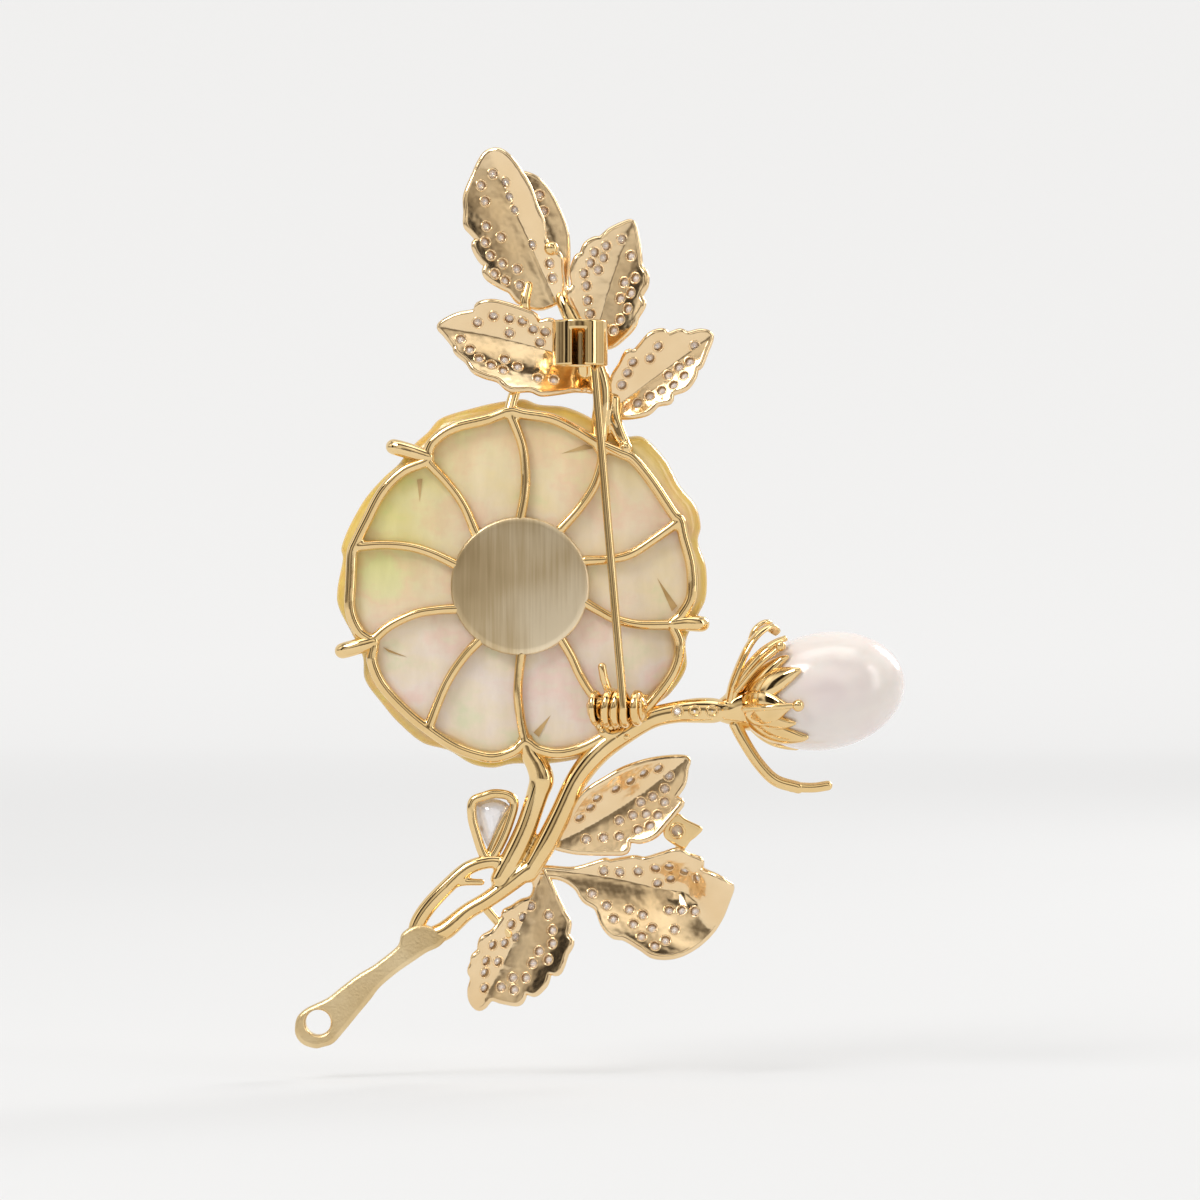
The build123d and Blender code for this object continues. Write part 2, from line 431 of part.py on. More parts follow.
catch_axis = at(*catch_at)
tube = Cylinder(catch_r, catch_long) - Cylinder(catch_r - catch_wall, catch_long)
slot_edge = 5.02
slot_wide = 1.35
slot_long = catch_long - 0.7
slot_middle = Pos(catch_at[0] - slot_edge + slot_wide / 2, catch_r - 0.2, (slot_long - catch_long) / 2)
slot = slot_middle * Rot(0, 0, -joint_turn) * Box(slot_wide, 2.2, slot_long)
parts["catch_tube"] = Pos(catch_axis) * Pos(0, 0, catch_long / 2) * (tube - slot)
parts["catch_post"] = Pos(at(4.6, 17.2, 0.1)) * Box(1.3, 1.0, 2.4)

# ---------------------------------------------------------------- fit the soldered pieces to each other
parts["cage_rim"] = cage_rim
parts["cage_spokes"] = spokes
parts["claws"] = claws
parts["flower_shell"] = flower
fixed_order = ["hub_disc", "flower_boss", "catch_tube", "main_stem", "bud_branch", "flower_trunk",
               "top_stem", "pearl", "pearl_peg", "calyx_cup", "loop_branch", "fork_branch", "twig_spur",
               "leaf_stalk", "stalk_bead", "top_strut", "leaf_strut", "leaf_rod", "joint_base", "catch_post",
               "granule", "cage_rim", "claws", "cage_spokes", "tendril", "curled_sepal", "stamens",
               "back_sepals", "front_sepals", "pear_stone", "pear_bezel", "round_stone", "round_bezel",
               "bezel_post"]
fixed_order += list(leaf_rows) + ["flower_shell"]


def solids_of(shape):
    if isinstance(shape, (list, ShapeList)):
        return [s for piece in shape for s in piece.solids()]
    return list(shape.solids())


def boxes_meet(one, other):
    a, b = one.bounding_box(), other.bounding_box()
    low = all(tuple(a.min)[i] <= tuple(b.max)[i] for i in range(3))
    return low and all(tuple(b.min)[i] <= tuple(a.max)[i] for i in range(3))


fitted = {}
for name in fixed_order:
    kept = []
    for body in solids_of(parts[name]):
        for neighbour in fitted.values():
            for other in neighbour:
                if boxes_meet(body, other):
                    body = body - other
        kept += [s for s in body.solids() if s.volume > 0.02]
    fitted[name] = kept
cutters["bud_branch"] = branch_seats
cutters["cage_spokes"] = ear_blocks
for name, seats in cutters.items():
    drilled = []
    for body in fitted[name]:
        drilled += [s for s in (body - seats).solids() if s.volume > 0.05]
    fitted[name] = drilled
for name, shape in parts.items():
    fitted.setdefault(name, solids_of(shape))

os.makedirs("parts", exist_ok=True)
for name, bodies in fitted.items():
    export_step(bodies[0] if len(bodies) == 1 else Compound(children=bodies), f"parts/{name}.step")
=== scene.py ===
"""A gold flower-spray brooch: a mother-of-pearl flower, stone-set leaves, a pearl bud and a hinged pin.

Places are in mm as seen from the back of the brooch: across (the frame's -X), up (Z) and out of the back (Y).
"""
import math
import random

import bpy
import numpy as np
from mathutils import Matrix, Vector, geometry


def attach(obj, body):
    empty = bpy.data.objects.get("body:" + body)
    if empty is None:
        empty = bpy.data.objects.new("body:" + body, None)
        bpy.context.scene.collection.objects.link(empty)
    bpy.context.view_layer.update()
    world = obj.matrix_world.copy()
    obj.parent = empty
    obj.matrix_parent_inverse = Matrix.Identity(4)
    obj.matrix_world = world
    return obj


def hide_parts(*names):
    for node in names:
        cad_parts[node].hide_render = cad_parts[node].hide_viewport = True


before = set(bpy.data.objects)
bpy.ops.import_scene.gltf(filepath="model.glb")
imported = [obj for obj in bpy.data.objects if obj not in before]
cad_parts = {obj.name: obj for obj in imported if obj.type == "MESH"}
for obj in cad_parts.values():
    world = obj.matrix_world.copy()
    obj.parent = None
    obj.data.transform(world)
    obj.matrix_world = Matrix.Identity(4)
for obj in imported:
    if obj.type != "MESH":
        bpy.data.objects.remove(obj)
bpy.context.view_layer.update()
random.seed(7)
rng = np.random.default_rng(7)

MM = 0.001
STEM_Y = -0.7
CAGE_Y = -0.42


# ------------------------------------------------------------------ helpers
def to_xyz(rows):
    """Rows of (across, up, out) in mm to metres in the row frame."""
    rows = np.asarray(rows, float)
    return np.column_stack((-rows[:, 0], rows[:, 2], rows[:, 1])) * MM


def grid_faces(rows, sides, closed=False, flip=False, caps=False):
    """Quads between stacked rings of verts; closed joins the last ring to the first, caps fills both ends."""
    faces = []
    for i in range(rows if closed else rows - 1):
        j = (i + 1) % rows
        for k in range(sides):
            k2 = (k + 1) % sides
            a, b, c, d = i * sides + k, i * sides + k2, j * sides + k2, j * sides + k
            faces.append((a, d, c, b) if flip else (a, b, c, d))
    if caps:
        first = tuple(range(sides))
        last = tuple((rows - 1) * sides + k for k in range(sides))
        faces += [first, last[::-1]] if flip else [first[::-1], last]
    return faces


def shifted(faces, by):
    return [tuple(i + by for i in face) for face in faces]


def circle(count):
    return np.linspace(0, 2 * np.pi, count, endpoint=False)


def square_to(out):
    """Two unit vectors square to out."""
    side = np.cross(out, [0.0, 0.0, 1.0])
    if np.linalg.norm(side) < 0.1:
        side = np.cross(out, [1.0, 0.0, 0.0])
    side /= np.linalg.norm(side)
    return side, np.cross(out, side)


class Soup:
    """Verts and faces collected from several closed pieces."""

    def __init__(self, *pieces):
        self.verts = []
        self.faces = []
        self.count = 0
        for verts, faces in pieces:
            self.add(verts, faces)

    def add(self, verts, faces):
        self.verts.append(np.asarray(verts, float))
        self.faces += shifted(faces, self.count)
        self.count += len(verts)


def build(name, soup, material, body="spray", smooth=True, nodes=None, slot=None):
    """A visible piece in place of its CAD nodes, by default the one of its own name."""
    mesh = bpy.data.meshes.new(name)
    mesh.from_pydata([tuple(v) for v in np.concatenate(soup.verts)], [], soup.faces)
    mesh.validate()
    mesh.polygons.foreach_set("use_smooth", [smooth] * len(mesh.polygons))
    obj = bpy.data.objects.new(name, mesh)
    bpy.context.scene.collection.objects.link(obj)
    mesh.materials.append(material)
    nodes = [name] if nodes is None else nodes
    slot = slot or material.name.split(".")[0]
    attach(obj, body)
    if nodes:
        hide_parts(*nodes)
    return obj


def spline(rows, step, closed=False):
    """A smooth curve through rows, with points about a step apart."""
    rows = np.asarray(rows, float)
    n = len(rows)
    out = []
    for i in range(n if closed else n - 1):
        p1, p2 = rows[i], rows[(i + 1) % n]
        p0 = rows[i - 1] if (closed or i > 0) else 2 * p1 - p2
        p3 = rows[(i + 2) % n] if (closed or i + 2 < n) else 2 * p2 - p1
        k = max(1, int(np.ceil(np.linalg.norm((p2 - p1)[:3]) / step)))
        t = (np.arange(k) / k)[:, None]
        out.append(0.5 * (2 * p1 + (p2 - p0) * t + (2 * p0 - 5 * p1 + 4 * p2 - p3) * t ** 2
                          + (3 * p1 - p0 - 3 * p2 + p3) * t ** 3))
    if not closed:
        out.append(rows[-1:])
    return np.concatenate(out)


def outline_of(points, step):
    """A closed smooth outline of (across, up)."""
    return spline([(a, u, 0) for a, u in points], step, closed=True)[:, :2]


def tube(rows, sides=20, step=0.14, closed=False, flat=1.0, smooth_path=True):
    """A round or flattened rod through rows of (across, up, out, radius) in mm, with domed ends."""
    rows = np.asarray(rows, float)
    path = spline(rows, step, closed) if smooth_path else rows
    centre = to_xyz(path[:, :3])
    radius = path[:, 3] * MM
    n = len(centre)
    along = np.roll(centre, -1, 0) - np.roll(centre, 1, 0) if closed else np.gradient(centre, axis=0)
    along /= np.linalg.norm(along, axis=1)[:, None] + 1e-12
    normal = np.zeros_like(along)
    start = np.array([0.0, 1.0, 0.0]) - along[0] * along[0][1]
    if np.linalg.norm(start) < 0.2:
        start = np.array([0.0, 0.0, 1.0]) - along[0] * along[0][2]
    normal[0] = start / np.linalg.norm(start)
    for i in range(1, n):
        v = normal[i - 1] - along[i] * np.dot(normal[i - 1], along[i])
        normal[i] = v / (np.linalg.norm(v) + 1e-12)
    side = np.cross(along, normal)
    turn = circle(sides)
    caps = 4

    def dome(end, sign, k):
        """The k-th ring of a domed end, counted from the rod."""
        a = k * np.pi / 2 / (caps + 0.6)
        place = centre[end] + sign * along[end] * radius[end] * math.sin(a)
        return place, side[end], normal[end], radius[end] * math.cos(a)

    rings = [(centre[i], side[i], normal[i], radius[i]) for i in range(n)]
    if not closed:
        rings = [dome(0, -1, k) for k in range(caps, 0, -1)] + rings + [dome(-1, 1, k) for k in range(1, caps + 1)]
    verts = [c + r * (np.cos(turn)[:, None] * s + flat * np.sin(turn)[:, None] * m) for c, s, m, r in rings]
    faces = grid_faces(len(rings), sides, closed, caps=not closed)
    if not closed:
        faces = [f[::-1] for f in faces]
    return np.concatenate(verts), faces


def level_rod(rows, **options):
    """A rod at the stems' depth, through rows of (across, up, radius)."""
    return tube([(a, u, STEM_Y, r) for a, u, r in rows], **options)


def globe(point, r, rings=10, sides=18):
    c = to_xyz([point])[0]
    verts = [c + np.array([0, 0, r * MM])]
    for i in range(1, rings):
        a = math.pi * i / rings
        for b in circle(sides):
            verts.append(c + r * MM * np.array([math.sin(a) * math.cos(b), math.sin(a) * math.sin(b), math.cos(a)]))
    verts.append(c - np.array([0, 0, r * MM]))
    last = len(verts) - 1
    base = last - sides
    faces = [(0, 1 + k, 1 + (k + 1) % sides) for k in range(sides)]
    faces += shifted(grid_faces(rings - 1, sides, flip=True), 1)
    faces += [(last, base + (k + 1) % sides, base + k) for k in range(sides)]
    return np.array(verts), faces


def lathe(profile, origin, axis, sides=56):
    """Turns rows of (distance along the axis, radius) about an axis."""
    axis = np.asarray(axis, float)
    side = np.array([0.0, 0.0, 1.0])
    other = np.cross(axis, side)
    verts = [origin + axis * s + r * (math.cos(a) * side + math.sin(a) * other)
             for s, r in profile for a in circle(sides)]
    return np.array(verts) * MM, grid_faces(len(profile), sides, flip=True, caps=True)


def melt(obj, voxel, rounds):
    """Runs soldered pieces into each other, as in a casting."""
    remesh = obj.modifiers.new("melt", "REMESH")
    remesh.mode = "VOXEL"
    remesh.voxel_size = voxel * MM
    remesh.use_smooth_shade = True
    soften = obj.modifiers.new("soften", "SMOOTH")
    soften.factor = 0.5
    soften.iterations = rounds


def inside(points, polygon):
    x, y = points[:, 0], points[:, 1]
    hit = np.zeros(len(points), bool)
    for (x1, y1), (x2, y2) in zip(polygon, np.roll(polygon, -1, 0)):
        crosses = (y1 > y) != (y2 > y)
        hit ^= crosses & (x < (x2 - x1) * (y - y1) / (y2 - y1 + 1e-12) + x1)
    return hit


# ------------------------------------------------------------------ materials
def settle(shader, values):
    for socket, value in values.items():
        shader.inputs[socket].default_value = value


def material(name):
    mat = bpy.data.materials.new(name)
    mat.use_nodes = True
    tree = mat.node_tree
    return mat, tree, tree.nodes["Principled BSDF"], tree.nodes.new("ShaderNodeTexCoord")


def node(tree, kind, **values):
    made = tree.nodes.new(kind)
    for key, value in values.items():
        if key in made.inputs:
            made.inputs[key].default_value = value
        else:
            setattr(made, key, value)
    return made


def ramp(tree, fac, stops):
    made = tree.nodes.new("ShaderNodeValToRGB")
    made.color_ramp.elements[0].position = stops[0][0]
    made.color_ramp.elements[0].color = (*stops[0][1], 1)
    made.color_ramp.elements[1].position = stops[-1][0]
    made.color_ramp.elements[1].color = (*stops[-1][1], 1)
    for place, colour in stops[1:-1]:
        made.color_ramp.elements.new(place).color = (*colour, 1)
    tree.links.new(fac, made.inputs["Fac"])
    return made.outputs["Color"]


def noise(tree, coords, scale, detail=4.0, stretch=None, rough=0.5):
    made = node(tree, "ShaderNodeTexNoise", Scale=scale, Detail=detail, Roughness=rough)
    source = coords.outputs["Object"]
    if stretch:
        mapping = tree.nodes.new("ShaderNodeMapping")
        mapping.inputs["Scale"].default_value = stretch
        tree.links.new(source, mapping.inputs["Vector"])
        source = mapping.outputs["Vector"]
    tree.links.new(source, made.inputs["Vector"])
    return made.outputs["Fac"]


def bump(tree, shader, height, strength, distance):
    made = node(tree, "ShaderNodeBump", Strength=strength, Distance=distance)
    tree.links.new(height, made.inputs["Height"])
    tree.links.new(made.outputs["Normal"], shader.inputs["Normal"])


def multiply(tree, first, second, factor=1.0):
    made = node(tree, "ShaderNodeMix", data_type="RGBA", blend_type="MULTIPLY")
    made.inputs["Factor"].default_value = factor
    tree.links.new(first, made.inputs[6])
    tree.links.new(second, made.inputs[7])
    return made.outputs[2]


def scaled(tree, value, scale, add):
    """value * scale + add, where add is a number or a socket."""
    made = node(tree, "ShaderNodeMath", operation="MULTIPLY_ADD")
    made.inputs[1].default_value = scale
    tree.links.new(value, made.inputs[0])
    if isinstance(add, float):
        made.inputs[2].default_value = add
    else:
        tree.links.new(add, made.inputs[2])
    return made.outputs["Value"]


def split(tree, vector):
    made = tree.nodes.new("ShaderNodeSeparateXYZ")
    tree.links.new(vector, made.inputs["Vector"])
    return made.outputs


def mapped(tree, value, target, limits):
    """Runs value over the limits From Min, From Max, To Min and To Max into a target socket."""
    made = node(tree, "ShaderNodeMapRange")
    settle(made, limits)
    tree.links.new(value, made.inputs["Value"])
    tree.links.new(made.outputs["Result"], target)


def gold(name, low, high, rough_low, rough_high, wave=0.10, grain=0.0):
    mat, tree, shader, coords = material(name)
    shader.inputs["Metallic"].default_value = 1.0
    broad = noise(tree, coords, 260.0, 3.0)
    tree.links.new(ramp(tree, broad, [(0.3, low), (0.7, high)]), shader.inputs["Base Color"])
    fine = noise(tree, coords, 1500.0, 5.0)
    mapped(tree, fine, shader.inputs["Roughness"], {"To Min": rough_low, "To Max": rough_high})
    if grain:
        bump(tree, shader, noise(tree, coords, 5200.0, 3.0), grain, 0.00004)
    else:
        bump(tree, shader, noise(tree, coords, 620.0, 2.0), wave, 0.00012)
    return mat


POLISHED = gold("polished_gold", (0.84, 0.59, 0.27), (0.90, 0.67, 0.35), 0.045, 0.10)
LEAF_GOLD = gold("leaf_gold", (0.86, 0.63, 0.36), (0.93, 0.72, 0.45), 0.09, 0.20, wave=0.75)
GRAINED = gold("grained_gold", (0.66, 0.47, 0.22), (0.88, 0.70, 0.42), 0.26, 0.44, grain=0.55)


def brushed():
    mat, tree, shader, coords = material("brushed_gold")
    lines = noise(tree, coords, 900.0, 4.0, stretch=(5.0, 1.0, 0.16))
    cloud = noise(tree, coords, 150.0, 2.0)
    streaks = scaled(tree, lines, 0.45, cloud)
    # Painted light and shade: the base colour runs lighter towards the frame's -X side of the flat disc and darker
    # towards +X, on top of the real brushed streaks.
    painted_light_across = scaled(tree, split(tree, coords.outputs["Object"])["X"], -38.0, streaks)
    colour = ramp(tree, painted_light_across, [(0.35, (0.46, 0.33, 0.17)), (0.65, (0.66, 0.51, 0.30)), (0.95, (0.90, 0.76, 0.54))])
    tree.links.new(colour, shader.inputs["Base Color"])
    settle(shader, {"Metallic": 1.0, "Roughness": 0.36, "Anisotropic": 0.6})
    bump(tree, shader, lines, 0.22, 0.00005)
    return mat


def nacre():
    """Mother-of-pearl: clouded cream with green, pink and yellow play of colour, browner at the edge."""
    mat, tree, shader, coords = material("mother_of_pearl")
    tint = tree.nodes.new("ShaderNodeVertexColor")
    tint.layer_name = "tint"
    cloud = noise(tree, coords, 150.0, 5.0, stretch=(1.0, 1.0, 1.4), rough=0.55)
    streak = noise(tree, coords, 420.0, 6.0, stretch=(1.5, 1.0, 0.5), rough=0.6)
    play = ramp(tree, cloud, [(0.32, (0.86, 0.96, 0.70)), (0.41, (1.0, 0.97, 0.82)), (0.50, (1.0, 0.98, 0.95)),
                              (0.57, (1.0, 0.86, 0.84)), (0.66, (0.94, 0.99, 0.86))])
    coloured = multiply(tree, tint.outputs["Color"], play, 0.85)
    veil = ramp(tree, streak, [(0.35, (0.84, 0.82, 0.78)), (0.65, (0.95, 0.94, 0.93))])
    tree.links.new(multiply(tree, coloured, veil, 0.8), shader.inputs["Base Color"])
    settle(shader, {"Roughness": 0.24, "Coat Weight": 0.5, "Coat Roughness": 0.08, "Subsurface Weight": 0.15,
                    "Subsurface Radius": (0.0012, 0.0009, 0.0006)})
    bump(tree, shader, streak, 0.10, 0.00006)
    return mat


def pearl_skin():
    mat, tree, shader, coords = material("pearl")
    cloud = noise(tree, coords, 120.0, 3.0)
    colour = ramp(tree, cloud, [(0.35, (0.82, 0.71, 0.67)), (0.55, (0.86, 0.79, 0.74)), (0.7, (0.79, 0.69, 0.67))])
    tree.links.new(colour, shader.inputs["Base Color"])
    settle(shader, {"Roughness": 0.22, "Coat Weight": 0.9, "Coat Roughness": 0.14, "Sheen Weight": 0.12,
                    "Sheen Roughness": 0.4, "Sheen Tint": (1.0, 0.80, 0.80, 1), "Subsurface Weight": 0.2,
                    "Subsurface Radius": (0.0015, 0.0010, 0.0008)})
    bump(tree, shader, noise(tree, coords, 380.0, 2.0), 0.05, 0.00008)
    return mat


def gem(name, low, high):
    mat, tree, shader, coords = material(name)
    cells = node(tree, "ShaderNodeTexVoronoi", Scale=2600.0)
    tree.links.new(coords.outputs["Object"], cells.inputs["Vector"])
    colour = ramp(tree, cells.outputs["Distance"], [(0.1, low), (0.6, high)])
    tree.links.new(colour, shader.inputs["Base Color"])
    settle(shader, {"Roughness": 0.06, "IOR": 2.1, "Transmission Weight": 0.08, "Coat Weight": 0.5,
                    "Coat Roughness": 0.03})
    return mat


def petal_cut():
    mat, tree, shader, coords = material("petal_cut")
    colour = ramp(tree, noise(tree, coords, 500.0, 3.0), [(0.3, (0.42, 0.25, 0.08)), (0.7, (0.66, 0.45, 0.20))])
    tree.links.new(colour, shader.inputs["Base Color"])
    shader.inputs["Roughness"].default_value = 0.35
    return mat


BRUSHED = brushed()
NACRE = nacre()
PEARL = pearl_skin()
CLEAR = gem("clear_stone", (0.98, 0.88, 0.87), (1.0, 0.97, 0.96))
LILAC = gem("lilac_stone", (0.90, 0.87, 0.90), (0.97, 0.95, 0.97))

# ------------------------------------------------------------------ cage
RIM = [
    (-0.8, 13.1), (0.3, 12.9), (2.4, 12.55), (4.2, 11.7), (5.8, 10.75), (7.5, 10.0), (8.5, 9.5), (9.9, 7.8),
    (11.5, 5.4), (12.0, 4.9), (12.3, 3.6), (12.85, 1.4), (12.85, -0.8), (12.1, -2.2), (11.5, -2.9),
    (12.0, -4.4), (11.5, -6.5), (9.6, -9.0), (7.9, -10.3), (5.0, -12.0), (3.0, -12.55), (1.4, -12.3),
    (0.4, -11.7), (-0.5, -12.4), (-1.9, -12.85), (-3.3, -12.65), (-5.0, -12.0), (-6.9, -10.75), (-8.5, -9.45),
    (-10.3, -7.5), (-11.1, -5.7), (-11.05, -4.3), (-12.1, -3.4), (-12.75, -1.8), (-12.7, 0.5), (-12.6, 2.5),
    (-12.3, 3.3), (-11.5, 4.9), (-10.35, 7.05), (-8.8, 8.6), (-7.0, 9.4), (-6.9, 10.1), (-6.4, 10.95),
    (-4.9, 11.9), (-2.5, 12.5)]
SPOKES = [[(0.0, 5.0), (0.35, 7.0), (0.4, 8.6), (0.15, 10.6), (-0.75, 13.0)],
          [(3.0, 4.2), (4.5, 5.9), (5.6, 7.6), (6.15, 9.6), (5.8, 10.7)],
          [(4.9, 1.9), (6.6, 2.0), (8.3, 2.4), (10.2, 3.6), (12.0, 4.9)],
          [(4.8, -1.2), (6.0, -1.9), (7.2, -2.5), (9.0, -2.9), (11.5, -2.9)],
          [(2.6, -3.2), (3.8, -5.2), (4.6, -6.9), (5.8, -8.6), (7.9, -10.3)],
          [(0.1, -5.0), (-0.1, -6.8), (-0.15, -8.3), (0.05, -10.0), (0.4, -11.7)],
          [(-2.9, -3.9), (-4.2, -5.3), (-5.3, -6.9), (-6.1, -8.6), (-6.9, -10.7)],
          [(-4.7, -1.7), (-6.2, -1.8), (-7.9, -2.1), (-9.8, -3.0), (-11.1, -4.1)],
          [(-4.8, 1.6), (-6.6, 2.45), (-8.3, 2.95), (-10.3, 3.1), (-12.5, 2.95)],
          [(-3.3, 3.9), (-4.2, 6.0), (-5.4, 7.7), (-7.0, 9.4)]]
cage = Soup(tube([(a, u, CAGE_Y, 0.43) for a, u in RIM], closed=True, sides=18))
for path in SPOKES:
    last = len(path) - 1
    spoke = [(a, u, CAGE_Y, 0.37 + 0.05 * (i == last) + 0.04 * (i == 0)) for i, (a, u) in enumerate(path)]
    cage.add(*tube(spoke, sides=18))
melt(build("cage", cage, POLISHED, nodes=["cage_rim", "cage_spokes"]), 0.085, 4)

CLAWS = [[(-6.9, 9.7), (-8.2, 10.1), (-9.45, 10.45)], [(-11.0, -4.2), (-12.2, -4.55), (-13.3, -4.85)],
         [(11.4, -2.9), (12.6, -2.8), (13.6, -2.85)]]
claws = Soup()
for inner, middle, outer in CLAWS:
    claws.add(*tube([(*inner, -0.42, 0.50), (*middle, -0.44, 0.60), (*outer, -0.74, 0.60), (*outer, -1.8, 0.50),
                     (*outer, -2.9, 0.44), (*middle, -3.5, 0.36)], sides=20, step=0.1))
melt(build("claws", claws, POLISHED), 0.08, 4)

# ------------------------------------------------------------------ brushed hub disc
HUB_R = 5.2
HUB_SIDES = 160
HUB_ROWS = ((0.001, 0.0), (0.5, 0.0), (0.9, -0.005), (0.965, -0.02), (0.985, -0.06), (1.0, -0.2), (1.0, -0.95))
hub = [(r * HUB_R * math.cos(a), y, r * HUB_R * math.sin(a)) for r, y in HUB_ROWS for a in circle(HUB_SIDES)]
build("hub_disc", Soup((np.array(hub) * MM, grid_faces(len(HUB_ROWS), HUB_SIDES, caps=True))), BRUSHED)

# ------------------------------------------------------------------ carved mother-of-pearl flower
SHELL = [
    (-7.0, 11.6), (-5.9, 12.7), (-3.3, 13.5), (-1.5, 13.9), (0.2, 14.1), (1.4, 13.7), (3.4, 13.5),
    (5.3, 12.7), (6.6, 11.7), (7.9, 11.3), (9.3, 11.2), (10.9, 9.6), (12.0, 7.6), (13.2, 6.1), (13.6, 4.5),
    (13.4, 3.3), (14.0, 1.4), (14.0, -0.8), (13.4, -2.2), (12.5, -4.1), (12.5, -6.2), (11.3, -8.1),
    (9.9, -9.2), (7.9, -11.2), (6.0, -12.5), (4.6, -13.0), (2.0, -13.4), (-0.5, -13.4), (-2.1, -13.7),
    (-3.7, -13.4), (-5.4, -12.4), (-7.4, -11.8), (-9.2, -10.3), (-10.4, -8.9), (-11.7, -7.1), (-11.9, -5.3),
    (-12.7, -3.6), (-13.7, -1.6), (-13.8, -0.2), (-13.4, 2.0), (-13.5, 2.9), (-12.9, 4.5), (-11.7, 6.6),
    (-10.3, 8.2), (-9.2, 9.2), (-8.1, 10.6)]
edge = outline_of(SHELL, 0.1)
TURNS = 720
theta = circle(TURNS)
reach = np.interp(theta, np.arctan2(edge[:, 1], edge[:, 0]), np.hypot(edge[:, 0], edge[:, 1]), period=2 * np.pi)
NOTCHES = np.mod(np.radians([93, 58, 15, 343, 308, 268, 236, 204, 168, 125]), 2 * np.pi)
LOBE_HALF = math.radians(17)
BACK_Y = -0.86


def lobes(turn):
    """0 at the cuts between the petals, 1 in the middle of a petal."""
    gap = np.min(np.abs((turn[:, None] - NOTCHES[None, :] + np.pi) % (2 * np.pi) - np.pi), axis=1)
    return np.clip(gap / LOBE_HALF, 0, 1)


lobe = lobes(theta)
inner_lobe = lobes(theta + LOBE_HALF)


def shell_tint(a, u, share):
    """Cream in the middle of the back, green-yellow up left, peach on top, pinkish below, amber at the rim."""
    warm = np.array([0.96, 0.83, 0.64])
    pink = np.array([0.95, 0.85, 0.78])
    green = np.array([0.90, 0.87, 0.38])
    peach = np.array([0.98, 0.86, 0.50])
    amber = np.array([0.82, 0.56, 0.10])
    left = np.clip((-a - 3.0) / 7.0, 0, 1) * np.clip((u + 3.5) / 6.0, 0, 1)
    top = np.clip((u - 4.0) / 7.0, 0, 1)
    low = np.clip((-u - 0.5) / 6.0, 0, 1)
    colour = warm * (1 - low) + pink * low
    colour = colour * (1 - 0.75 * top) + peach * 0.75 * top
    colour = colour * (1 - 0.85 * left) + green * 0.85 * left
    rim = np.clip((share - 0.885) / 0.10, 0, 1) ** 0.8
    return colour * (1 - rim) + amber * rim


verts = []
tints = []
edge_turn = np.radians(10.0) * np.arange(1, 10)
back_rows = [(s, BACK_Y) for s in np.linspace(0.10, 0.90, 22)]
back_rows += [(0.90 + 0.10 * math.sin(a), BACK_Y - 1.15 * (1 - math.cos(a))) for a in edge_turn]
for share, y in back_rows:
    for k in range(TURNS):
        r = reach[k] * share
        a, u = r * math.cos(theta[k]), r * math.sin(theta[k])
        lift = 0.10 * (1 - lobe[k]) * np.clip((share - 0.6) / 0.4, 0, 1)
        verts.append((-a, y - lift, u))
        tints.append(shell_tint(a, u, share))
FRONT_ROWS = 46
for j in range(FRONT_ROWS):
    share = 1.0 - 0.90 * j / (FRONT_ROWS - 1)
    for k in range(TURNS):
        r = reach[k] * share
        a, u = r * math.cos(theta[k]), r * math.sin(theta[k])
        inner_edge = 0.60 + 0.08 * math.sqrt(inner_lobe[k])
        vein = 0.05 * math.cos(theta[k] * 90) * math.sin(math.pi * share)
        outer_y = -1.95 - 0.40 * math.sin(math.pi * min(1, share)) - 0.70 * math.sqrt(lobe[k]) * share
        on = 1 / (1 + math.exp((share - inner_edge) / 0.006))
        inner_y = -2.95 - 0.75 * math.sqrt(inner_lobe[k]) * min(1, share / 0.3) + 0.25 * (1 - share / inner_edge)
        y = outer_y * (1 - on) + inner_y * on + vein
        if j == 0:
            y = -2.15
        if j == 1:
            y = 0.5 * y - 1.1
        verts.append((-a, max(y, -3.75), u))
        tints.append(shell_tint(a, u, min(share, 0.93)) * 1.04)
shell = Soup((np.array(verts) * MM, grid_faces(len(back_rows) + FRONT_ROWS, TURNS)))
shell_obj = build("flower_shell", shell, NACRE)
layer = shell_obj.data.color_attributes.new("tint", "FLOAT_COLOR", "POINT")
layer.data.foreach_set("color", np.column_stack((np.array(tints), np.ones(len(tints)))).astype(np.float32).ravel())

# Cuts between the carved petals, seen from behind as thin brown darts.
SLITS = [[(-7.75, 8.0), (-7.35, 8.05), (-7.55, 6.3)], [(4.9, 10.65), (5.5, 10.35), (3.1, 9.95)],
         [(11.4, -1.9), (11.8, -1.5), (10.3, 0.6)], [(-10.3, -4.6), (-9.9, -4.95), (-8.5, -5.35)],
         [(1.0, -11.0), (1.4, -11.35), (2.3, -9.7)]]
slits = Soup()
for first, second, tip in SLITS:
    ring = [(*first, -0.80), (*second, -0.80), (*tip, -0.848)]
    deep = [(*first, -1.3), (*second, -1.3), (*tip, -1.3)]
    slits.add(to_xyz(ring + deep), [(0, 1, 2), (3, 5, 4), (0, 3, 4, 1), (1, 4, 5, 2), (2, 5, 3, 0)])
build("petal_cuts", slits, petal_cut(), smooth=False, nodes=(), slot="mother_of_pearl")


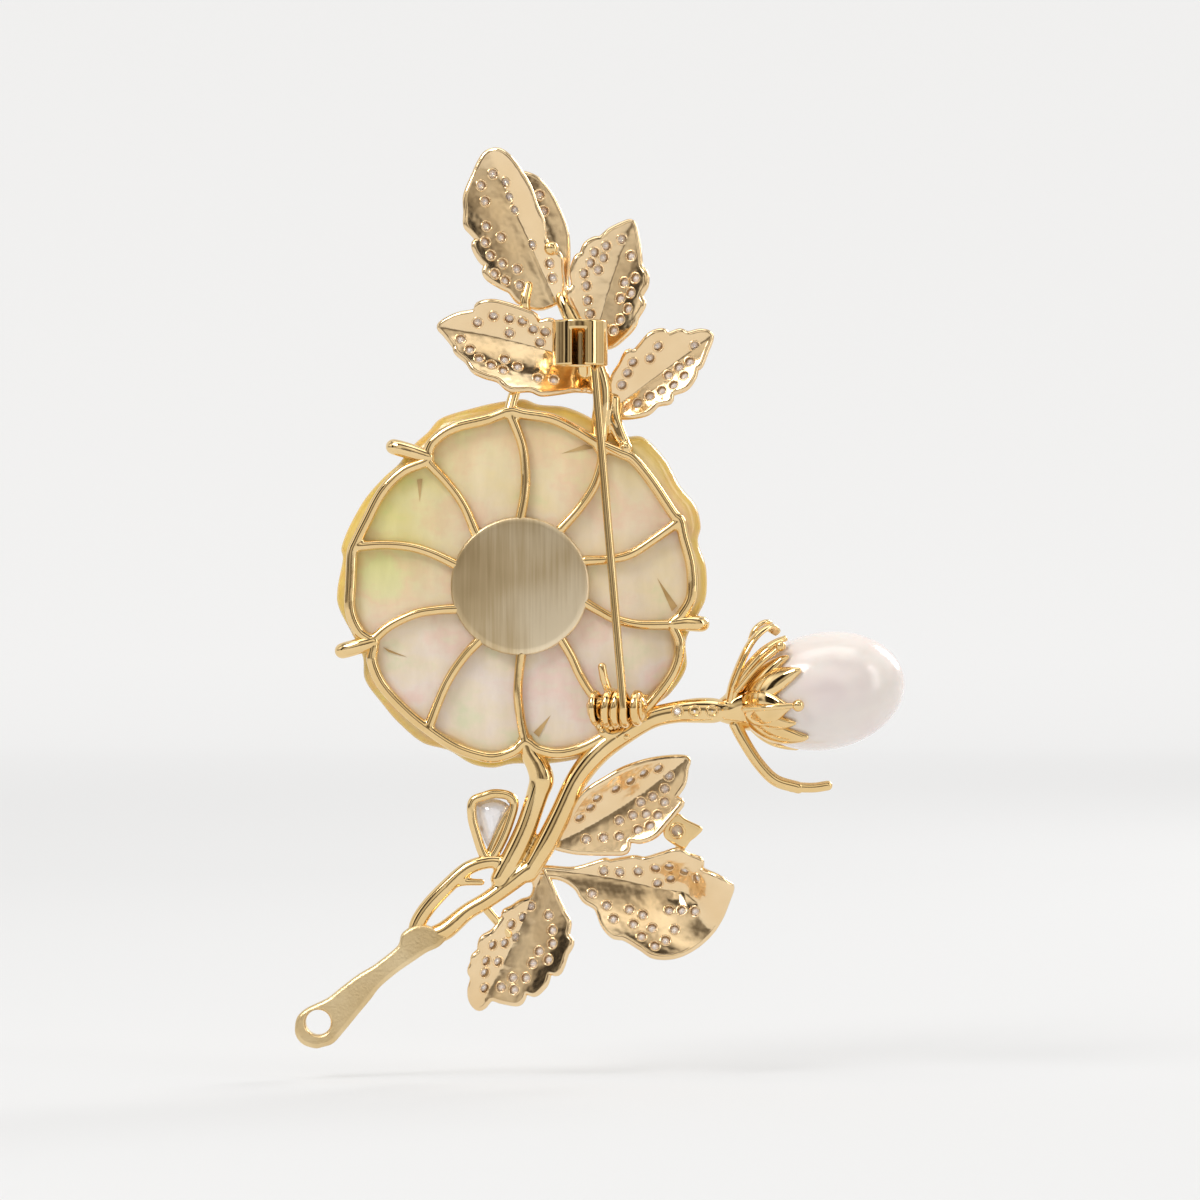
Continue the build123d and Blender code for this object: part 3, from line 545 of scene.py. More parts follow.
# ------------------------------------------------------------------ stones
def stone(centre, out, r=0.4, sides=8, back=0.30, crown=0.28):
    """A faceted stone; out is the unit vector towards its table."""
    out = np.asarray(out, float)
    side, other = square_to(out)
    verts = [centre - out * back]
    rings = (0.62, -back * 0.45, 0.5), (1.0, 0.03, 0), (1.0, 0.09, 0), (0.78, 0.20, 0.5), (0.5, crown, 0)
    for share, height, offset in rings:
        for k in range(sides):
            a = 2 * math.pi * (k + offset) / sides
            verts.append(centre + out * height + r * share * (math.cos(a) * side + math.sin(a) * other))
    faces = [(0, 1 + k, 1 + (k + 1) % sides) for k in range(sides)]
    faces += shifted(grid_faces(5, sides, flip=True), 1)
    faces.append(tuple(1 + 4 * sides + k for k in range(sides))[::-1])
    return np.array(verts) * MM, faces


def ring_bead(centre, out, major, minor, turns=18, sides=8):
    out = np.asarray(out, float)
    side, other = square_to(out)
    verts = []
    for a in circle(turns):
        radial = math.cos(a) * side + math.sin(a) * other
        verts += [centre + radial * (major + minor * math.cos(b)) + out * minor * math.sin(b) for b in circle(sides)]
    return np.array(verts) * MM, grid_faces(turns, sides, closed=True, flip=True)


# ------------------------------------------------------------------ leaves
LEAF_THICK = 0.56
HOLE_R = 0.36
HOLE_SIDES = 18
LEAF_GRID = 0.20


def leaf_depth(a, u, row):
    """Height of the blade's middle surface, in mm, over (across, up)."""
    base, tip = np.array(row["base"]), np.array(row["tip"])
    run = tip - base
    length = np.hypot(*run)
    run = run / length
    da, du = a - base[0], u - base[1]
    s = (da * run[0] + du * run[1]) / length
    w = da * -run[1] + du * run[0]
    w = w - row.get("bow", 0.0) * 4 * s * (1 - s)
    y = row["y"] + 0 * s
    bend = row["trough"]
    y = y + np.where(w > 0, w * w / (2 * bend[0]), w * w / (2 * bend[1]))
    fold = row.get("fold", (0.0, 0.0))
    soft = np.sqrt(w * w + 0.02) - 0.14
    y = y + np.where(w > 0, fold[0], fold[1]) * soft
    y = y + row.get("rise", 0.0) * s + row.get("curl", 0.0) * np.clip(s - row.get("curl_from", 0.55), 0, 1) ** 2
    for pa, pu, pr, ph in row.get("swell", ()):
        y = y + ph * np.exp(-((a - pa) ** 2 + (u - pu) ** 2) / (2 * pr * pr))
    y = y - row.get("rib", 0.10) * np.exp(-(w / 0.26) ** 2) * np.clip(1 - s, 0, 1)
    return y


def gap_to(points, others):
    """Each point's distance to the nearest of the others."""
    apart = points[:, None] - others[None, :]
    return np.min(np.hypot(apart[..., 0], apart[..., 1]), axis=1)


def make_leaf(name, row):
    """A blade with drilled seats, a rounded rim and a collar round each seat, and its stones."""
    outline = outline_of(row["outline"], 0.16)
    stones = np.array(row["stones"])
    t = circle(HOLE_SIDES)
    loops = [outline] + [centre + HOLE_R * np.column_stack((np.cos(t), np.sin(t))) for centre in stones]
    low, high = outline.min(0), outline.max(0)
    gx, gy = np.meshgrid(np.arange(low[0], high[0], LEAF_GRID), np.arange(low[1], high[1], LEAF_GRID))
    gx = gx + 0.5 * LEAF_GRID * (np.arange(gx.shape[0]) % 2)[:, None]
    points = np.column_stack((gx.ravel(), gy.ravel()))
    points = points[inside(points, outline)]
    points = points[gap_to(points, outline) > 0.12]
    points = points[gap_to(points, stones) > HOLE_R + 0.09]
    coords = []
    edges = []
    for loop in loops:
        first = len(coords)
        coords += [Vector(p) for p in loop]
        edges += [(first + i, first + (i + 1) % len(loop)) for i in range(len(loop))]
    coords += [Vector(p) for p in points]
    flat_verts, _, tris, *_ = geometry.delaunay_2d_cdt(coords, edges, [], 0, 1e-5)
    flat = np.array([tuple(v) for v in flat_verts])
    tris = np.array([t for t in tris if len(t) == 3])
    middle = flat[tris].mean(1)
    tris = tris[inside(middle, outline) & (gap_to(middle, stones) > HOLE_R - 0.02)]

    def lift(p):
        """Places on the blade's middle surface, and its normals there."""
        a, u = p[:, 0], p[:, 1]
        h = 0.01
        y = leaf_depth(a, u, row)
        ya = (leaf_depth(a + h, u, row) - y) / h
        yu = (leaf_depth(a, u + h, row) - y) / h
        normal = np.column_stack((ya, np.ones_like(y), -yu))
        normal /= np.linalg.norm(normal, axis=1)[:, None]
        return np.column_stack((-a, y, u)), normal

    mid, normal = lift(flat)
    half = LEAF_THICK / 2
    a0, b0, c0 = mid[tris[0]]
    facing_back = np.dot(np.cross(b0 - a0, c0 - a0), normal[tris[0][0]]) > 0
    plain = [tuple(t) for t in tris]
    turned = [(a, c, b) for a, b, c in plain]
    leaf = Soup(((mid + normal * half) * MM, plain if facing_back else turned),
                ((mid - normal * half) * MM, turned if facing_back else plain))
    edge_mid, _ = lift(outline)
    border = np.column_stack((-edge_mid[:, 0], edge_mid[:, 2], edge_mid[:, 1], np.full(len(outline), half * 1.03)))
    leaf.add(*tube(border, closed=True, sides=12, smooth_path=False))
    gems = Soup()
    for p, m in zip(*lift(stones)):
        leaf.add(*ring_bead(p + m * (half - 0.01), m, HOLE_R + 0.045, 0.07))
        side, other = square_to(m)
        ring = HOLE_R * (np.cos(t)[:, None] * side + np.sin(t)[:, None] * other)
        leaf.add(np.concatenate((p + ring + m * half, p + ring - m * half)) * MM, grid_faces(2, HOLE_SIDES))
        gems.add(*stone(p - m * 0.10, -m, r=0.44, back=0.30 + 0.05 * random.random()))
        for angle in np.radians([45, 135, 225, 315]):
            bead = p - m * (half + 0.02) + 0.43 * (math.cos(angle) * side + math.sin(angle) * other)
            leaf.add(*globe((-bead[0], bead[2], bead[1]), 0.11, rings=5, sides=8))
    build(name, leaf, LEAF_GOLD, slot="polished_gold")
    build(name.replace("_leaf", "_stones"), gems, CLEAR, smooth=False)


LEAVES = {
    "top_leaf": dict(
        outline=[
            (2.9, 21.6), (1.5, 21.0), (0.0, 21.4), (-0.7, 22.2), (-1.3, 22.5), (-2.3, 23.1), (-2.6, 23.6),
            (-2.5, 24.1), (-2.9, 24.5), (-3.3, 25.2), (-3.4, 25.7), (-3.1, 26.0), (-3.6, 26.6), (-4.0, 27.1),
            (-4.0, 28.1), (-4.0, 29.4), (-3.4, 30.9), (-3.0, 31.8), (-2.5, 32.5), (-1.7, 32.7), (-1.0, 32.3),
            (-0.4, 31.6), (0.0, 31.0), (0.6, 30.0), (1.1, 28.6), (1.6, 27.4), (1.8, 26.0), (2.3, 25.3),
            (2.9, 24.8), (3.0, 23.6), (3.1, 22.4)],
        base=(2.6, 21.6), tip=(-2.2, 32.4), y=-1.7, trough=(9.0, 3.4), fold=(0.10, 0.22), rise=0.3,
        curl=3.2, curl_from=0.7,
        stones=[
            (-2.1, 31.0), (-3.0, 30.1), (-2.7, 28.9), (-1.1, 30.4), (-0.8, 29.3), (-0.4, 28.3), (-2.6, 27.0),
            (-1.5, 26.2), (-2.7, 25.8), (-2.3, 24.8), (-1.4, 24.2), (-2.0, 23.4), (-0.3, 23.8), (-1.2, 22.9),
            (-0.1, 22.6), (0.9, 25.7), (2.3, 24.3), (2.5, 23.2)]),
    "top_back_leaf": dict(
        outline=[
            (3.3, 21.9), (2.1, 22.2), (1.2, 24.4), (0.4, 27.4), (-0.3, 30.4), (0.0, 31.0), (0.5, 31.0),
            (1.3, 30.6), (2.2, 29.5), (2.9, 28.1), (3.4, 26.6), (3.5, 24.8), (3.4, 23.1)],
        base=(3.2, 21.9), tip=(0.4, 31.0), y=-2.9, trough=(9.0, -9.0), fold=(0.05, -0.10), rise=0.3,
        stones=[(1.4, 29.5), (1.7, 28.3), (1.4, 27.4)]),
    "upper_right_leaf": dict(
        outline=[
            (8.4, 27.3), (8.7, 26.2), (8.9, 24.9), (9.0, 24.0), (9.4, 23.4), (9.4, 22.6), (9.0, 21.8),
            (9.2, 21.1), (8.7, 20.2), (8.5, 19.6), (7.9, 18.9), (6.8, 18.1), (5.7, 18.3), (4.7, 19.9),
            (3.9, 21.4), (3.8, 22.1), (4.1, 22.6), (4.0, 23.6), (4.3, 24.6), (4.7, 24.9), (5.0, 25.6),
            (5.6, 26.0), (6.1, 26.1), (6.8, 26.7), (7.8, 27.2)],
        base=(5.6, 18.3), tip=(8.4, 27.3), y=-1.6, trough=(6.0, 5.0), fold=(0.15, 0.15), rise=0.2, bow=0.2,
        stones=[
            (7.6, 26.1), (6.4, 25.6), (5.5, 25.1), (6.2, 24.7), (5.2, 24.3), (5.8, 23.8), (4.7, 23.5),
            (4.9, 22.6), (5.0, 21.5), (5.2, 20.5), (8.4, 24.8), (8.75, 23.1), (7.9, 22.8), (8.4, 22.0),
            (7.6, 21.6), (8.2, 20.8), (7.6, 20.0), (7.1, 19.2)]),
    "right_leaf": dict(
        outline=[
            (14.3, 18.8), (13.6, 19.1), (12.6, 18.9), (12.0, 19.1), (11.1, 18.8), (10.7, 19.1), (9.8, 18.8),
            (8.7, 17.6), (8.1, 17.5), (7.6, 16.6), (7.1, 15.8), (6.8, 14.8), (6.7, 13.6), (7.5, 12.8),
            (9.4, 13.0), (10.3, 13.7), (11.2, 13.9), (11.4, 14.5), (12.4, 14.9), (13.0, 15.7), (13.2, 16.4),
            (13.5, 16.6), (13.9, 17.6)],
        base=(6.9, 13.3), tip=(14.3, 18.8), y=-1.6, trough=(5.0, 4.5), fold=(0.2, 0.2), rise=0.2,
        stones=[
            (13.1, 18.1), (12.8, 16.8), (12.0, 16.4), (11.2, 15.8), (12.4, 15.7), (11.6, 15.0), (10.7, 14.6),
            (9.8, 14.2), (8.9, 13.7), (10.3, 18.1), (9.7, 17.2), (8.4, 16.9), (8.0, 16.1), (7.6, 15.2)]),
    "left_leaf": dict(
        outline=[
            (-6.0, 19.6), (-4.8, 20.3), (-3.4, 20.6), (-3.1, 21.1), (-2.2, 21.3), (-1.1, 21.1), (0.9, 20.4),
            (1.4, 19.8), (2.2, 19.9), (2.8, 19.6), (5.4, 18.0), (5.6, 15.0), (4.9, 14.8), (4.0, 14.8),
            (2.7, 14.6), (1.6, 14.5), (0.8, 14.8), (-0.7, 14.8), (-1.6, 15.5), (-2.6, 15.8), (-3.4, 16.2),
            (-3.9, 16.9), (-4.7, 17.6), (-4.9, 18.1), (-5.6, 19.0)],
        base=(5.6, 16.6), tip=(-6.0, 19.5), y=-1.8, trough=(5.5, 5.5), fold=(0.15, 0.22), rise=0.2, bow=-0.3,
        stones=[
            (-3.2, 19.9), (-2.0, 20.4), (-0.8, 20.2), (0.2, 20.0), (1.0, 19.4), (-0.8, 19.1), (1.9, 19.2),
            (1.5, 18.4), (-4.5, 18.5), (-3.8, 17.7), (-3.1, 17.0), (-2.2, 16.5), (-1.2, 16.95), (-1.3, 16.1),
            (-0.2, 16.4), (1.3, 15.5), (2.5, 15.4)]),
    "lower_fold_leaf": dict(
        outline=[
            (12.4, -13.0), (10.1, -13.1), (8.0, -13.7), (6.5, -14.5), (5.0, -15.5), (3.9, -17.1),
            (3.0, -18.6), (2.3, -19.0), (2.4, -19.5), (3.9, -19.9), (5.2, -20.0), (6.8, -20.0), (7.9, -19.9),
            (8.2, -19.1), (9.1, -19.1), (10.1, -18.7), (10.9, -17.8), (11.5, -17.1), (12.1, -16.3),
            (11.6, -15.9), (12.2, -14.9), (12.4, -13.8)],
        base=(3.0, -19.1), tip=(12.4, -13.0), y=-1.7, trough=(5.0, 8.0), fold=(0.62, 0.12), bow=-0.35, rib=0.0,
        stones=[
            (10.3, -13.6), (9.2, -13.95), (8.2, -14.5), (7.1, -15.1), (5.7, -15.8), (5.2, -16.5),
            (4.4, -17.3), (11.2, -14.3), (10.9, -15.3), (10.0, -15.9), (10.9, -16.3), (9.1, -16.3),
            (8.5, -17.3), (9.5, -17.2), (10.4, -17.3), (7.5, -17.7), (9.8, -18.1), (8.9, -18.4), (5.0, -19.1),
            (6.3, -19.0), (7.5, -18.9)]),
    "lower_curl_leaf": dict(
        outline=[
            (1.0, -21.2), (2.2, -21.3), (3.9, -21.4), (5.2, -21.1), (6.4, -20.7), (6.8, -20.8), (8.5, -20.5),
            (9.4, -20.6), (10.7, -20.2), (11.8, -19.9), (12.7, -20.3), (13.5, -20.6), (13.6, -21.3),
            (14.7, -21.8), (15.5, -22.3), (15.8, -22.6), (15.5, -23.6), (15.0, -24.9), (14.2, -26.1),
            (13.0, -27.1), (11.6, -27.7), (10.1, -27.7), (9.1, -27.1), (7.9, -26.4), (7.0, -26.2),
            (6.3, -25.4), (5.8, -24.2), (4.9, -23.6), (4.2, -22.6), (3.0, -21.9), (1.2, -21.7)],
        base=(1.8, -21.4), tip=(15.4, -24.4), y=-1.7, trough=(7.0, 9.0), fold=(0.10, 0.05), rise=0.2, bow=0.6,
        swell=[(12.2, -22.6, 1.3, -1.0), (14.9, -22.2, 1.3, 1.5), (11.5, -20.0, 1.3, 0.8), (13.8, -24.0, 1.6, 0.5)],
        stones=[
            (6.3, -21.4), (7.5, -21.5), (8.9, -21.4), (10.2, -21.1), (11.2, -20.9), (12.4, -21.3),
            (11.3, -21.9), (10.3, -22.3), (13.4, -21.9), (5.4, -23.2), (6.5, -24.1), (7.0, -25.1),
            (8.2, -24.4), (9.2, -24.8), (8.5, -25.5), (9.9, -25.8), (9.1, -26.4), (11.2, -24.5),
            (12.2, -24.5), (13.2, -24.5), (11.6, -25.9), (10.9, -26.7), (10.1, -27.1)]),
    "bottom_leaf": dict(
        outline=[
            (1.6, -21.3), (0.9, -21.6), (1.2, -22.6), (0.9, -23.5), (0.1, -23.8), (-0.5, -24.2),
            (-1.1, -24.5), (-1.2, -24.9), (-1.9, -25.9), (-2.7, -26.4), (-2.9, -26.8), (-3.0, -27.4),
            (-3.4, -27.8), (-3.5, -28.3), (-3.7, -28.9), (-3.5, -29.5), (-3.7, -30.4), (-3.6, -31.2),
            (-3.2, -31.7), (-2.8, -31.6), (-2.2, -31.0), (-1.3, -31.2), (-0.1, -31.3), (0.4, -30.5),
            (1.1, -30.6), (1.6, -30.2), (1.9, -29.8), (2.2, -29.0), (2.8, -29.0), (3.1, -28.5), (3.4, -27.6),
            (3.7, -27.1), (3.8, -26.7), (3.5, -26.2), (3.6, -25.3), (3.2, -24.6), (3.1, -24.3), (2.7, -23.5),
            (2.3, -22.6)],
        base=(1.5, -21.8), tip=(-3.0, -31.4), y=-1.7, trough=(8.0, 5.0), fold=(0.10, 0.52), bow=0.25, rib=0.04,
        stones=[
            (0.8, -24.1), (0.1, -24.9), (-0.8, -25.4), (-0.4, -26.4), (-2.2, -26.9), (-1.3, -26.8),
            (-2.7, -28.1), (-1.8, -28.2), (-2.8, -29.0), (-2.8, -30.2), (2.2, -24.8), (2.5, -25.9),
            (2.5, -26.9), (1.5, -27.5), (2.2, -28.1), (1.0, -28.4), (0.5, -29.5), (-0.5, -29.5),
            (-1.4, -30.2), (-0.4, -30.4)]),
}
for leaf_name, leaf_row in LEAVES.items():
    make_leaf(leaf_name, leaf_row)

# ------------------------------------------------------------------ stems
BUD_BRANCH = [
    (0.6, -21.6, 0.72), (1.9, -19.4, 0.85), (3.0, -17.2, 0.84), (4.3, -14.5, 0.85), (5.9, -12.5, 0.9),
    (7.7, -11.1, 0.9), (9.8, -9.95, 0.8), (11.6, -9.5, 0.82), (13.2, -9.35, 0.95), (14.6, -9.35, 0.95),
    (15.4, -9.3, 0.7)]
TRUNK = [
    (0.4, -11.6, 0.62), (0.75, -12.6, 0.72), (1.3, -13.5, 0.86), (1.62, -14.5, 0.95), (1.35, -15.5, 0.86),
    (1.0, -16.6, 0.82), (0.4, -18.3, 0.82), (-0.5, -20.2, 0.82), (-1.5, -22.0, 0.75)]
LOOP = [(-7.9, -26.6, 0.6), (-7.7, -25.4, 0.62), (-6.9, -24.1, 0.62), (-5.5, -22.6, 0.6), (-3.9, -21.2, 0.55),
        (-2.2, -20.7, 0.52), (-0.8, -20.9, 0.5)]
FORK = [(-7.2, -26.4, 0.62), (-5.7, -25.9, 0.75), (-4.0, -24.5, 0.66), (-2.5, -23.6, 0.66), (-1.1, -22.6, 0.7),
        (0.6, -21.3, 0.75)]
TWIG = [(-5.3, -22.5, 0.36), (-4.3, -22.25, 0.3), (-2.9, -22.25, 0.26)]
PEAR_STALK = [(-2.6, -20.8, STEM_Y, 0.3), (-2.3, -20.0, -0.9, 0.3), (-1.2, -17.6, -0.9, 0.26), (-0.3, -16.2, -0.9, 0.22)]
stems = Soup(level_rod(BUD_BRANCH, sides=24), level_rod(TRUNK, sides=24), level_rod(LOOP), level_rod(FORK),
             level_rod(TWIG, sides=14), tube(PEAR_STALK, sides=14))
STEM_NODES = ["bud_branch", "flower_trunk", "loop_branch", "fork_branch", "twig_spur"]
melt(build("stems", stems, POLISHED, nodes=STEM_NODES), 0.10, 5)


def slab(outline, hole, low, high, bevel, step=0.16):
    """A flat casting with rounded edges and a round hole of (across, up, radius), between depths low and high."""
    outer = outline_of(outline, step)
    area = 0.5 * np.sum(outer[:, 0] * np.roll(outer[:, 1], -1) - np.roll(outer[:, 0], -1) * outer[:, 1])
    if area < 0:
        outer = outer[::-1]
    tangent = np.roll(outer, -1, 0) - np.roll(outer, 1, 0)
    tangent /= np.linalg.norm(tangent, axis=1)[:, None]
    inward = np.column_stack((-tangent[:, 1], tangent[:, 0]))
    turns = np.linspace(0, math.pi / 2, 6)
    profile = [(bevel * (1 - math.sin(a)), low + bevel * (1 - math.cos(a))) for a in turns]
    profile += [(bevel * (1 - math.cos(a)), high - bevel * (1 - math.sin(a))) for a in turns]
    n = len(outer)
    rows = [(*p, y) for inset, y in profile for p in outer + inward * inset]
    soup = Soup((to_xyz(rows), grid_faces(len(profile), n, flip=True)))
    hole_at, hole_r, sides = np.array(hole[:2]), hole[2], 40
    t = circle(sides)
    spokes = np.column_stack((np.cos(t), np.sin(t)))
    ring = outer + inward * bevel
    for y, flip in ((low, False), (high, True)):
        coords = [Vector(p) for p in ring] + [Vector(p) for p in hole_at + (hole_r + bevel * 0.5) * spokes]
        edges = [(i, (i + 1) % n) for i in range(n)] + [(n + i, n + (i + 1) % sides) for i in range(sides)]
        flat_verts, _, tris, *_ = geometry.delaunay_2d_cdt(coords, edges, [], 0, 1e-5)
        flat = np.array([tuple(v) for v in flat_verts])
        kept = []
        for tri in tris:
            c = flat[list(tri)].mean(0)
            if inside(c[None, :], ring)[0] and math.hypot(*(c - hole_at)) >= hole_r + bevel * 0.45:
                kept.append(tuple(tri) if flip else tuple(tri)[::-1])
        soup.add(to_xyz(np.column_stack((flat, np.full(len(flat), y)))), kept)
    mouth = ((0.5, 0.0), (0.15, 0.2), (0.0, 0.7))
    shape = [(hole_r + bevel * wide, low + bevel * deep) for wide, deep in mouth]
    shape += [(hole_r + bevel * wide, high - bevel * deep) for wide, deep in mouth[::-1]]
    soup.add(to_xyz([(*p, y) for r, y in shape for p in hole_at + r * spokes]), grid_faces(len(shape), sides))
    return soup


BAR = [
    (-16.1, -31.75), (-16.7, -32.3), (-16.9, -33.1), (-16.8, -33.8), (-16.3, -34.4), (-15.4, -34.7),
    (-14.8, -34.6), (-14.0, -34.3), (-13.1, -33.3), (-12.2, -32.2), (-11.2, -31.0), (-10.5, -30.1),
    (-9.2, -29.0), (-7.9, -28.1), (-7.0, -27.5), (-6.0, -27.0), (-5.6, -26.2), (-7.4, -25.4), (-8.8, -26.0),
    (-9.2, -27.0), (-10.5, -28.1), (-11.2, -28.6), (-12.2, -29.2), (-13.4, -30.1), (-14.4, -30.9),
    (-15.4, -31.4)]
build("main_stem", slab(BAR, (-15.15, -32.75, 0.95), STEM_Y - 0.74, STEM_Y + 0.74, 0.34), GRAINED)

upper = Soup(tube([
    (6.0, 10.6, -0.8, 0.62), (6.05, 12.2, -0.8, 0.7), (6.2, 14.0, -0.8, 0.74), (6.0, 15.6, -0.8, 0.74),
    (5.2, 17.7, -0.8, 0.72), (4.1, 19.7, -0.9, 0.66), (3.3, 21.4, -1.4, 0.6), (3.2, 22.3, -2.1, 0.5)],
                  sides=22),
             tube([(8.0, 10.3, -0.7, 0.5), (7.5, 11.6, -0.8, 0.42), (7.1, 12.8, -0.9, 0.5), (7.1, 14.0, -1.1, 0.45)],
                  sides=18),
             tube([(6.0, 13.9, -0.9, 0.5), (6.7, 12.6, -0.9, 0.45), (7.6, 10.9, -0.8, 0.45)], sides=16),
             globe((7.9, 10.35, -0.55), 0.56))
melt(build("top_stem", upper, POLISHED, nodes=["top_stem", "leaf_stalk", "stalk_bead"]), 0.085, 4)

STRUTS = {
    "top_strut": (18, [(-0.8, 13.0, -0.5, 0.5), (-0.6, 13.9, -0.7, 0.44), (-0.3, 14.9, -0.9, 0.42),
                       (0.0, 15.8, -1.1, 0.36)]),
    "leaf_strut": (16, [(0.45, 20.3, -1.2, 0.42), (0.35, 21.4, -1.0, 0.40), (0.6, 22.6, -1.3, 0.36)]),
    "leaf_rod": (16, [(-2.9, -23.8, STEM_Y, 0.36), (-1.9, -25.0, -0.9, 0.34), (-0.9, -26.2, -1.3, 0.32)]),
}
for strut_name, (strut_sides, strut_rows) in STRUTS.items():
    build(strut_name, Soup(tube(strut_rows, sides=strut_sides)), POLISHED)
build("granule", Soup(globe((2.35, 25.35, -0.4), 0.55, rings=16, sides=28)), POLISHED)
build("bezel_post", Soup(tube([(12.1, -19.4, -1.5, 0.4), (11.9, -20.5, -1.5, 0.36)], sides=16)), POLISHED)

branch_gems = Soup()
branch_rings = Soup()
for a in (11.8, 13.1, 14.4):
    branch_gems.add(*stone(np.array([-a, STEM_Y + 0.74, -9.4]), (0, -1, 0), r=0.40, back=0.24))
    collar = np.array([-a, STEM_Y + 0.90 + 0.04 * (a > 12), -9.4])
    branch_rings.add(*ring_bead(collar, (0, 1, 0), 0.40, 0.10, turns=26, sides=10))
build("branch_stones", branch_gems, CLEAR, smooth=False)
build("branch_seats", branch_rings, POLISHED, nodes=())

# ------------------------------------------------------------------ pear and round settings
PEAR = [
    (-3.55, -16.2), (-2.7, -15.8), (-1.9, -15.6), (-0.9, -15.75), (-0.45, -16.3), (-0.8, -17.7),
    (-1.4, -19.2), (-2.2, -20.5), (-2.75, -20.2), (-3.3, -18.6), (-3.6, -17.4)]
pear = Soup(tube([(a, u, -0.75, 0.36) for a, u in PEAR], closed=True, sides=18, step=0.12),
            tube([(a * 0.96 - 0.08, u * 0.99 - 0.15, -1.75, 0.28) for a, u in PEAR], closed=True, sides=16, step=0.12))
for a, u in ((-3.4, -16.3), (-0.75, -16.1), (-3.3, -18.4), (-1.1, -18.4), (-2.3, -20.1)):
    pear.add(*tube([(a, u, -0.8, 0.24), (a, u, -1.5, 0.24), (a * 0.97 - 0.05, u, -2.2, 0.26)], sides=12))
build("pear_bezel", pear, POLISHED)
PEAR_GEM = [(-3.3, -16.5), (-2.0, -16.0), (-0.8, -16.6), (-1.2, -17.9), (-2.2, -19.9), (-3.1, -18.0)]
pear_outline = outline_of(PEAR_GEM, 0.45)
PEAR_MIDDLE = np.array([-2.05, -17.3])
PEAR_ROWS = ((0.02, -0.72), (0.45, -0.85), (0.8, -1.10), (1.0, -1.42), (1.0, -1.55), (0.78, -1.95), (0.5, -2.12))
n = len(pear_outline)
rows = [(*(PEAR_MIDDLE + (p - PEAR_MIDDLE) * share), y) for share, y in PEAR_ROWS for p in pear_outline]
table = tuple((len(PEAR_ROWS) - 1) * n + k for k in range(n))
build("pear_stone", Soup((to_xyz(rows), grid_faces(len(PEAR_ROWS), n) + [table])), LILAC, smooth=False)

ROUND = [
    (10.9, -17.7), (11.8, -17.1), (12.6, -17.6), (13.7, -18.2), (13.3, -18.8), (12.8, -19.2), (12.3, -19.8),
    (11.6, -19.5), (10.8, -18.8)]
round_bezel = slab(ROUND, (11.8, -18.4, 0.44), -2.0, -0.85, 0.2, step=0.14)
round_bezel.add(*ring_bead(np.array([-11.8, -0.86, -18.4]), (0, 1, 0), 0.53, 0.11, turns=28, sides=10))
build("round_bezel", round_bezel, POLISHED)
round_stone = stone(np.array([-11.8, -1.5, -18.4]), (0, -1, 0), r=0.62, back=0.4, crown=0.4)
build("round_stone", Soup(round_stone), CLEAR, smooth=False)

# ------------------------------------------------------------------ bud
LIFT = math.radians(11)
PEARL_AT = np.array([22.9, -7.9, -1.6])
PEARL_LONG, PEARL_WIDE = 6.08, 4.42


def on_pearl(s, turn, grow=0.0):
    """A point on the pearl: s runs 0 to 1 from the calyx end, turn is 0 at the back and 90 on top."""
    a = math.pi * s
    r = (PEARL_WIDE + grow) * math.sin(a)
    x = -(PEARL_LONG + grow) * math.cos(a)
    side = r * math.sin(math.radians(turn))
    out = r * math.cos(math.radians(turn))
    across = x * math.cos(LIFT) - side * math.sin(LIFT)
    up = x * math.sin(LIFT) + side * math.cos(LIFT)
    return PEARL_AT[0] + across, PEARL_AT[1] + up, PEARL_AT[2] + out


rings, sides = 90, 128
rows = []
for i in range(rings + 1):
    s = i / rings
    for k in range(sides):
        turn = 360.0 * k / sides
        dent = 0.10 * math.exp(-((s - 0.30) ** 2 / 0.0007 + ((turn if turn < 180 else turn - 360) + 8) ** 2 / 30.0))
        rows.append(on_pearl(min(max(s, 0.002), 0.998), turn, -dent))
build("pearl", Soup((to_xyz(rows), grid_faces(rings + 1, sides, caps=True))), PEARL)


def strip(points, widths, thick, sides=18):
    """A sepal: a curved strip with rounded edges that follows points and leans against the pearl."""
    path = spline(np.column_stack((np.asarray(points, float), np.asarray(widths, float))), 0.12)
    centre = to_xyz(path[:, :3])
    along = np.gradient(centre, axis=0)
    along /= np.linalg.norm(along, axis=1)[:, None]
    away = centre - to_xyz([PEARL_AT])[0]
    away -= along * np.sum(away * along, axis=1)[:, None]
    away /= np.linalg.norm(away, axis=1)[:, None]
    side = np.cross(along, away)
    verts = []
    t = circle(sides)
    for i in range(len(centre)):
        w = path[i, 3] * MM
        h = min(thick * MM, w * 0.9)
        x = np.cos(t) * w
        y = np.sign(np.sin(t)) * np.abs(np.sin(t)) ** 0.7 * h - 0.15 * x * x / (w + 1e-9)
        verts.append(centre[i] + x[:, None] * side[i] + y[:, None] * away[i])
    return np.concatenate(verts), grid_faces(len(centre), sides, caps=True)


cup = tube([(14.9, -9.4, -0.8, 0.8), (15.6, -9.3, -1.1, 1.15), (16.3, -9.15, -1.35, 1.6), (16.9, -9.05, -1.5, 1.9)],
           sides=40, step=0.1)
melt(build("calyx_cup", Soup(cup), POLISHED, nodes=["calyx_cup", "pearl_peg"]), 0.09, 6)


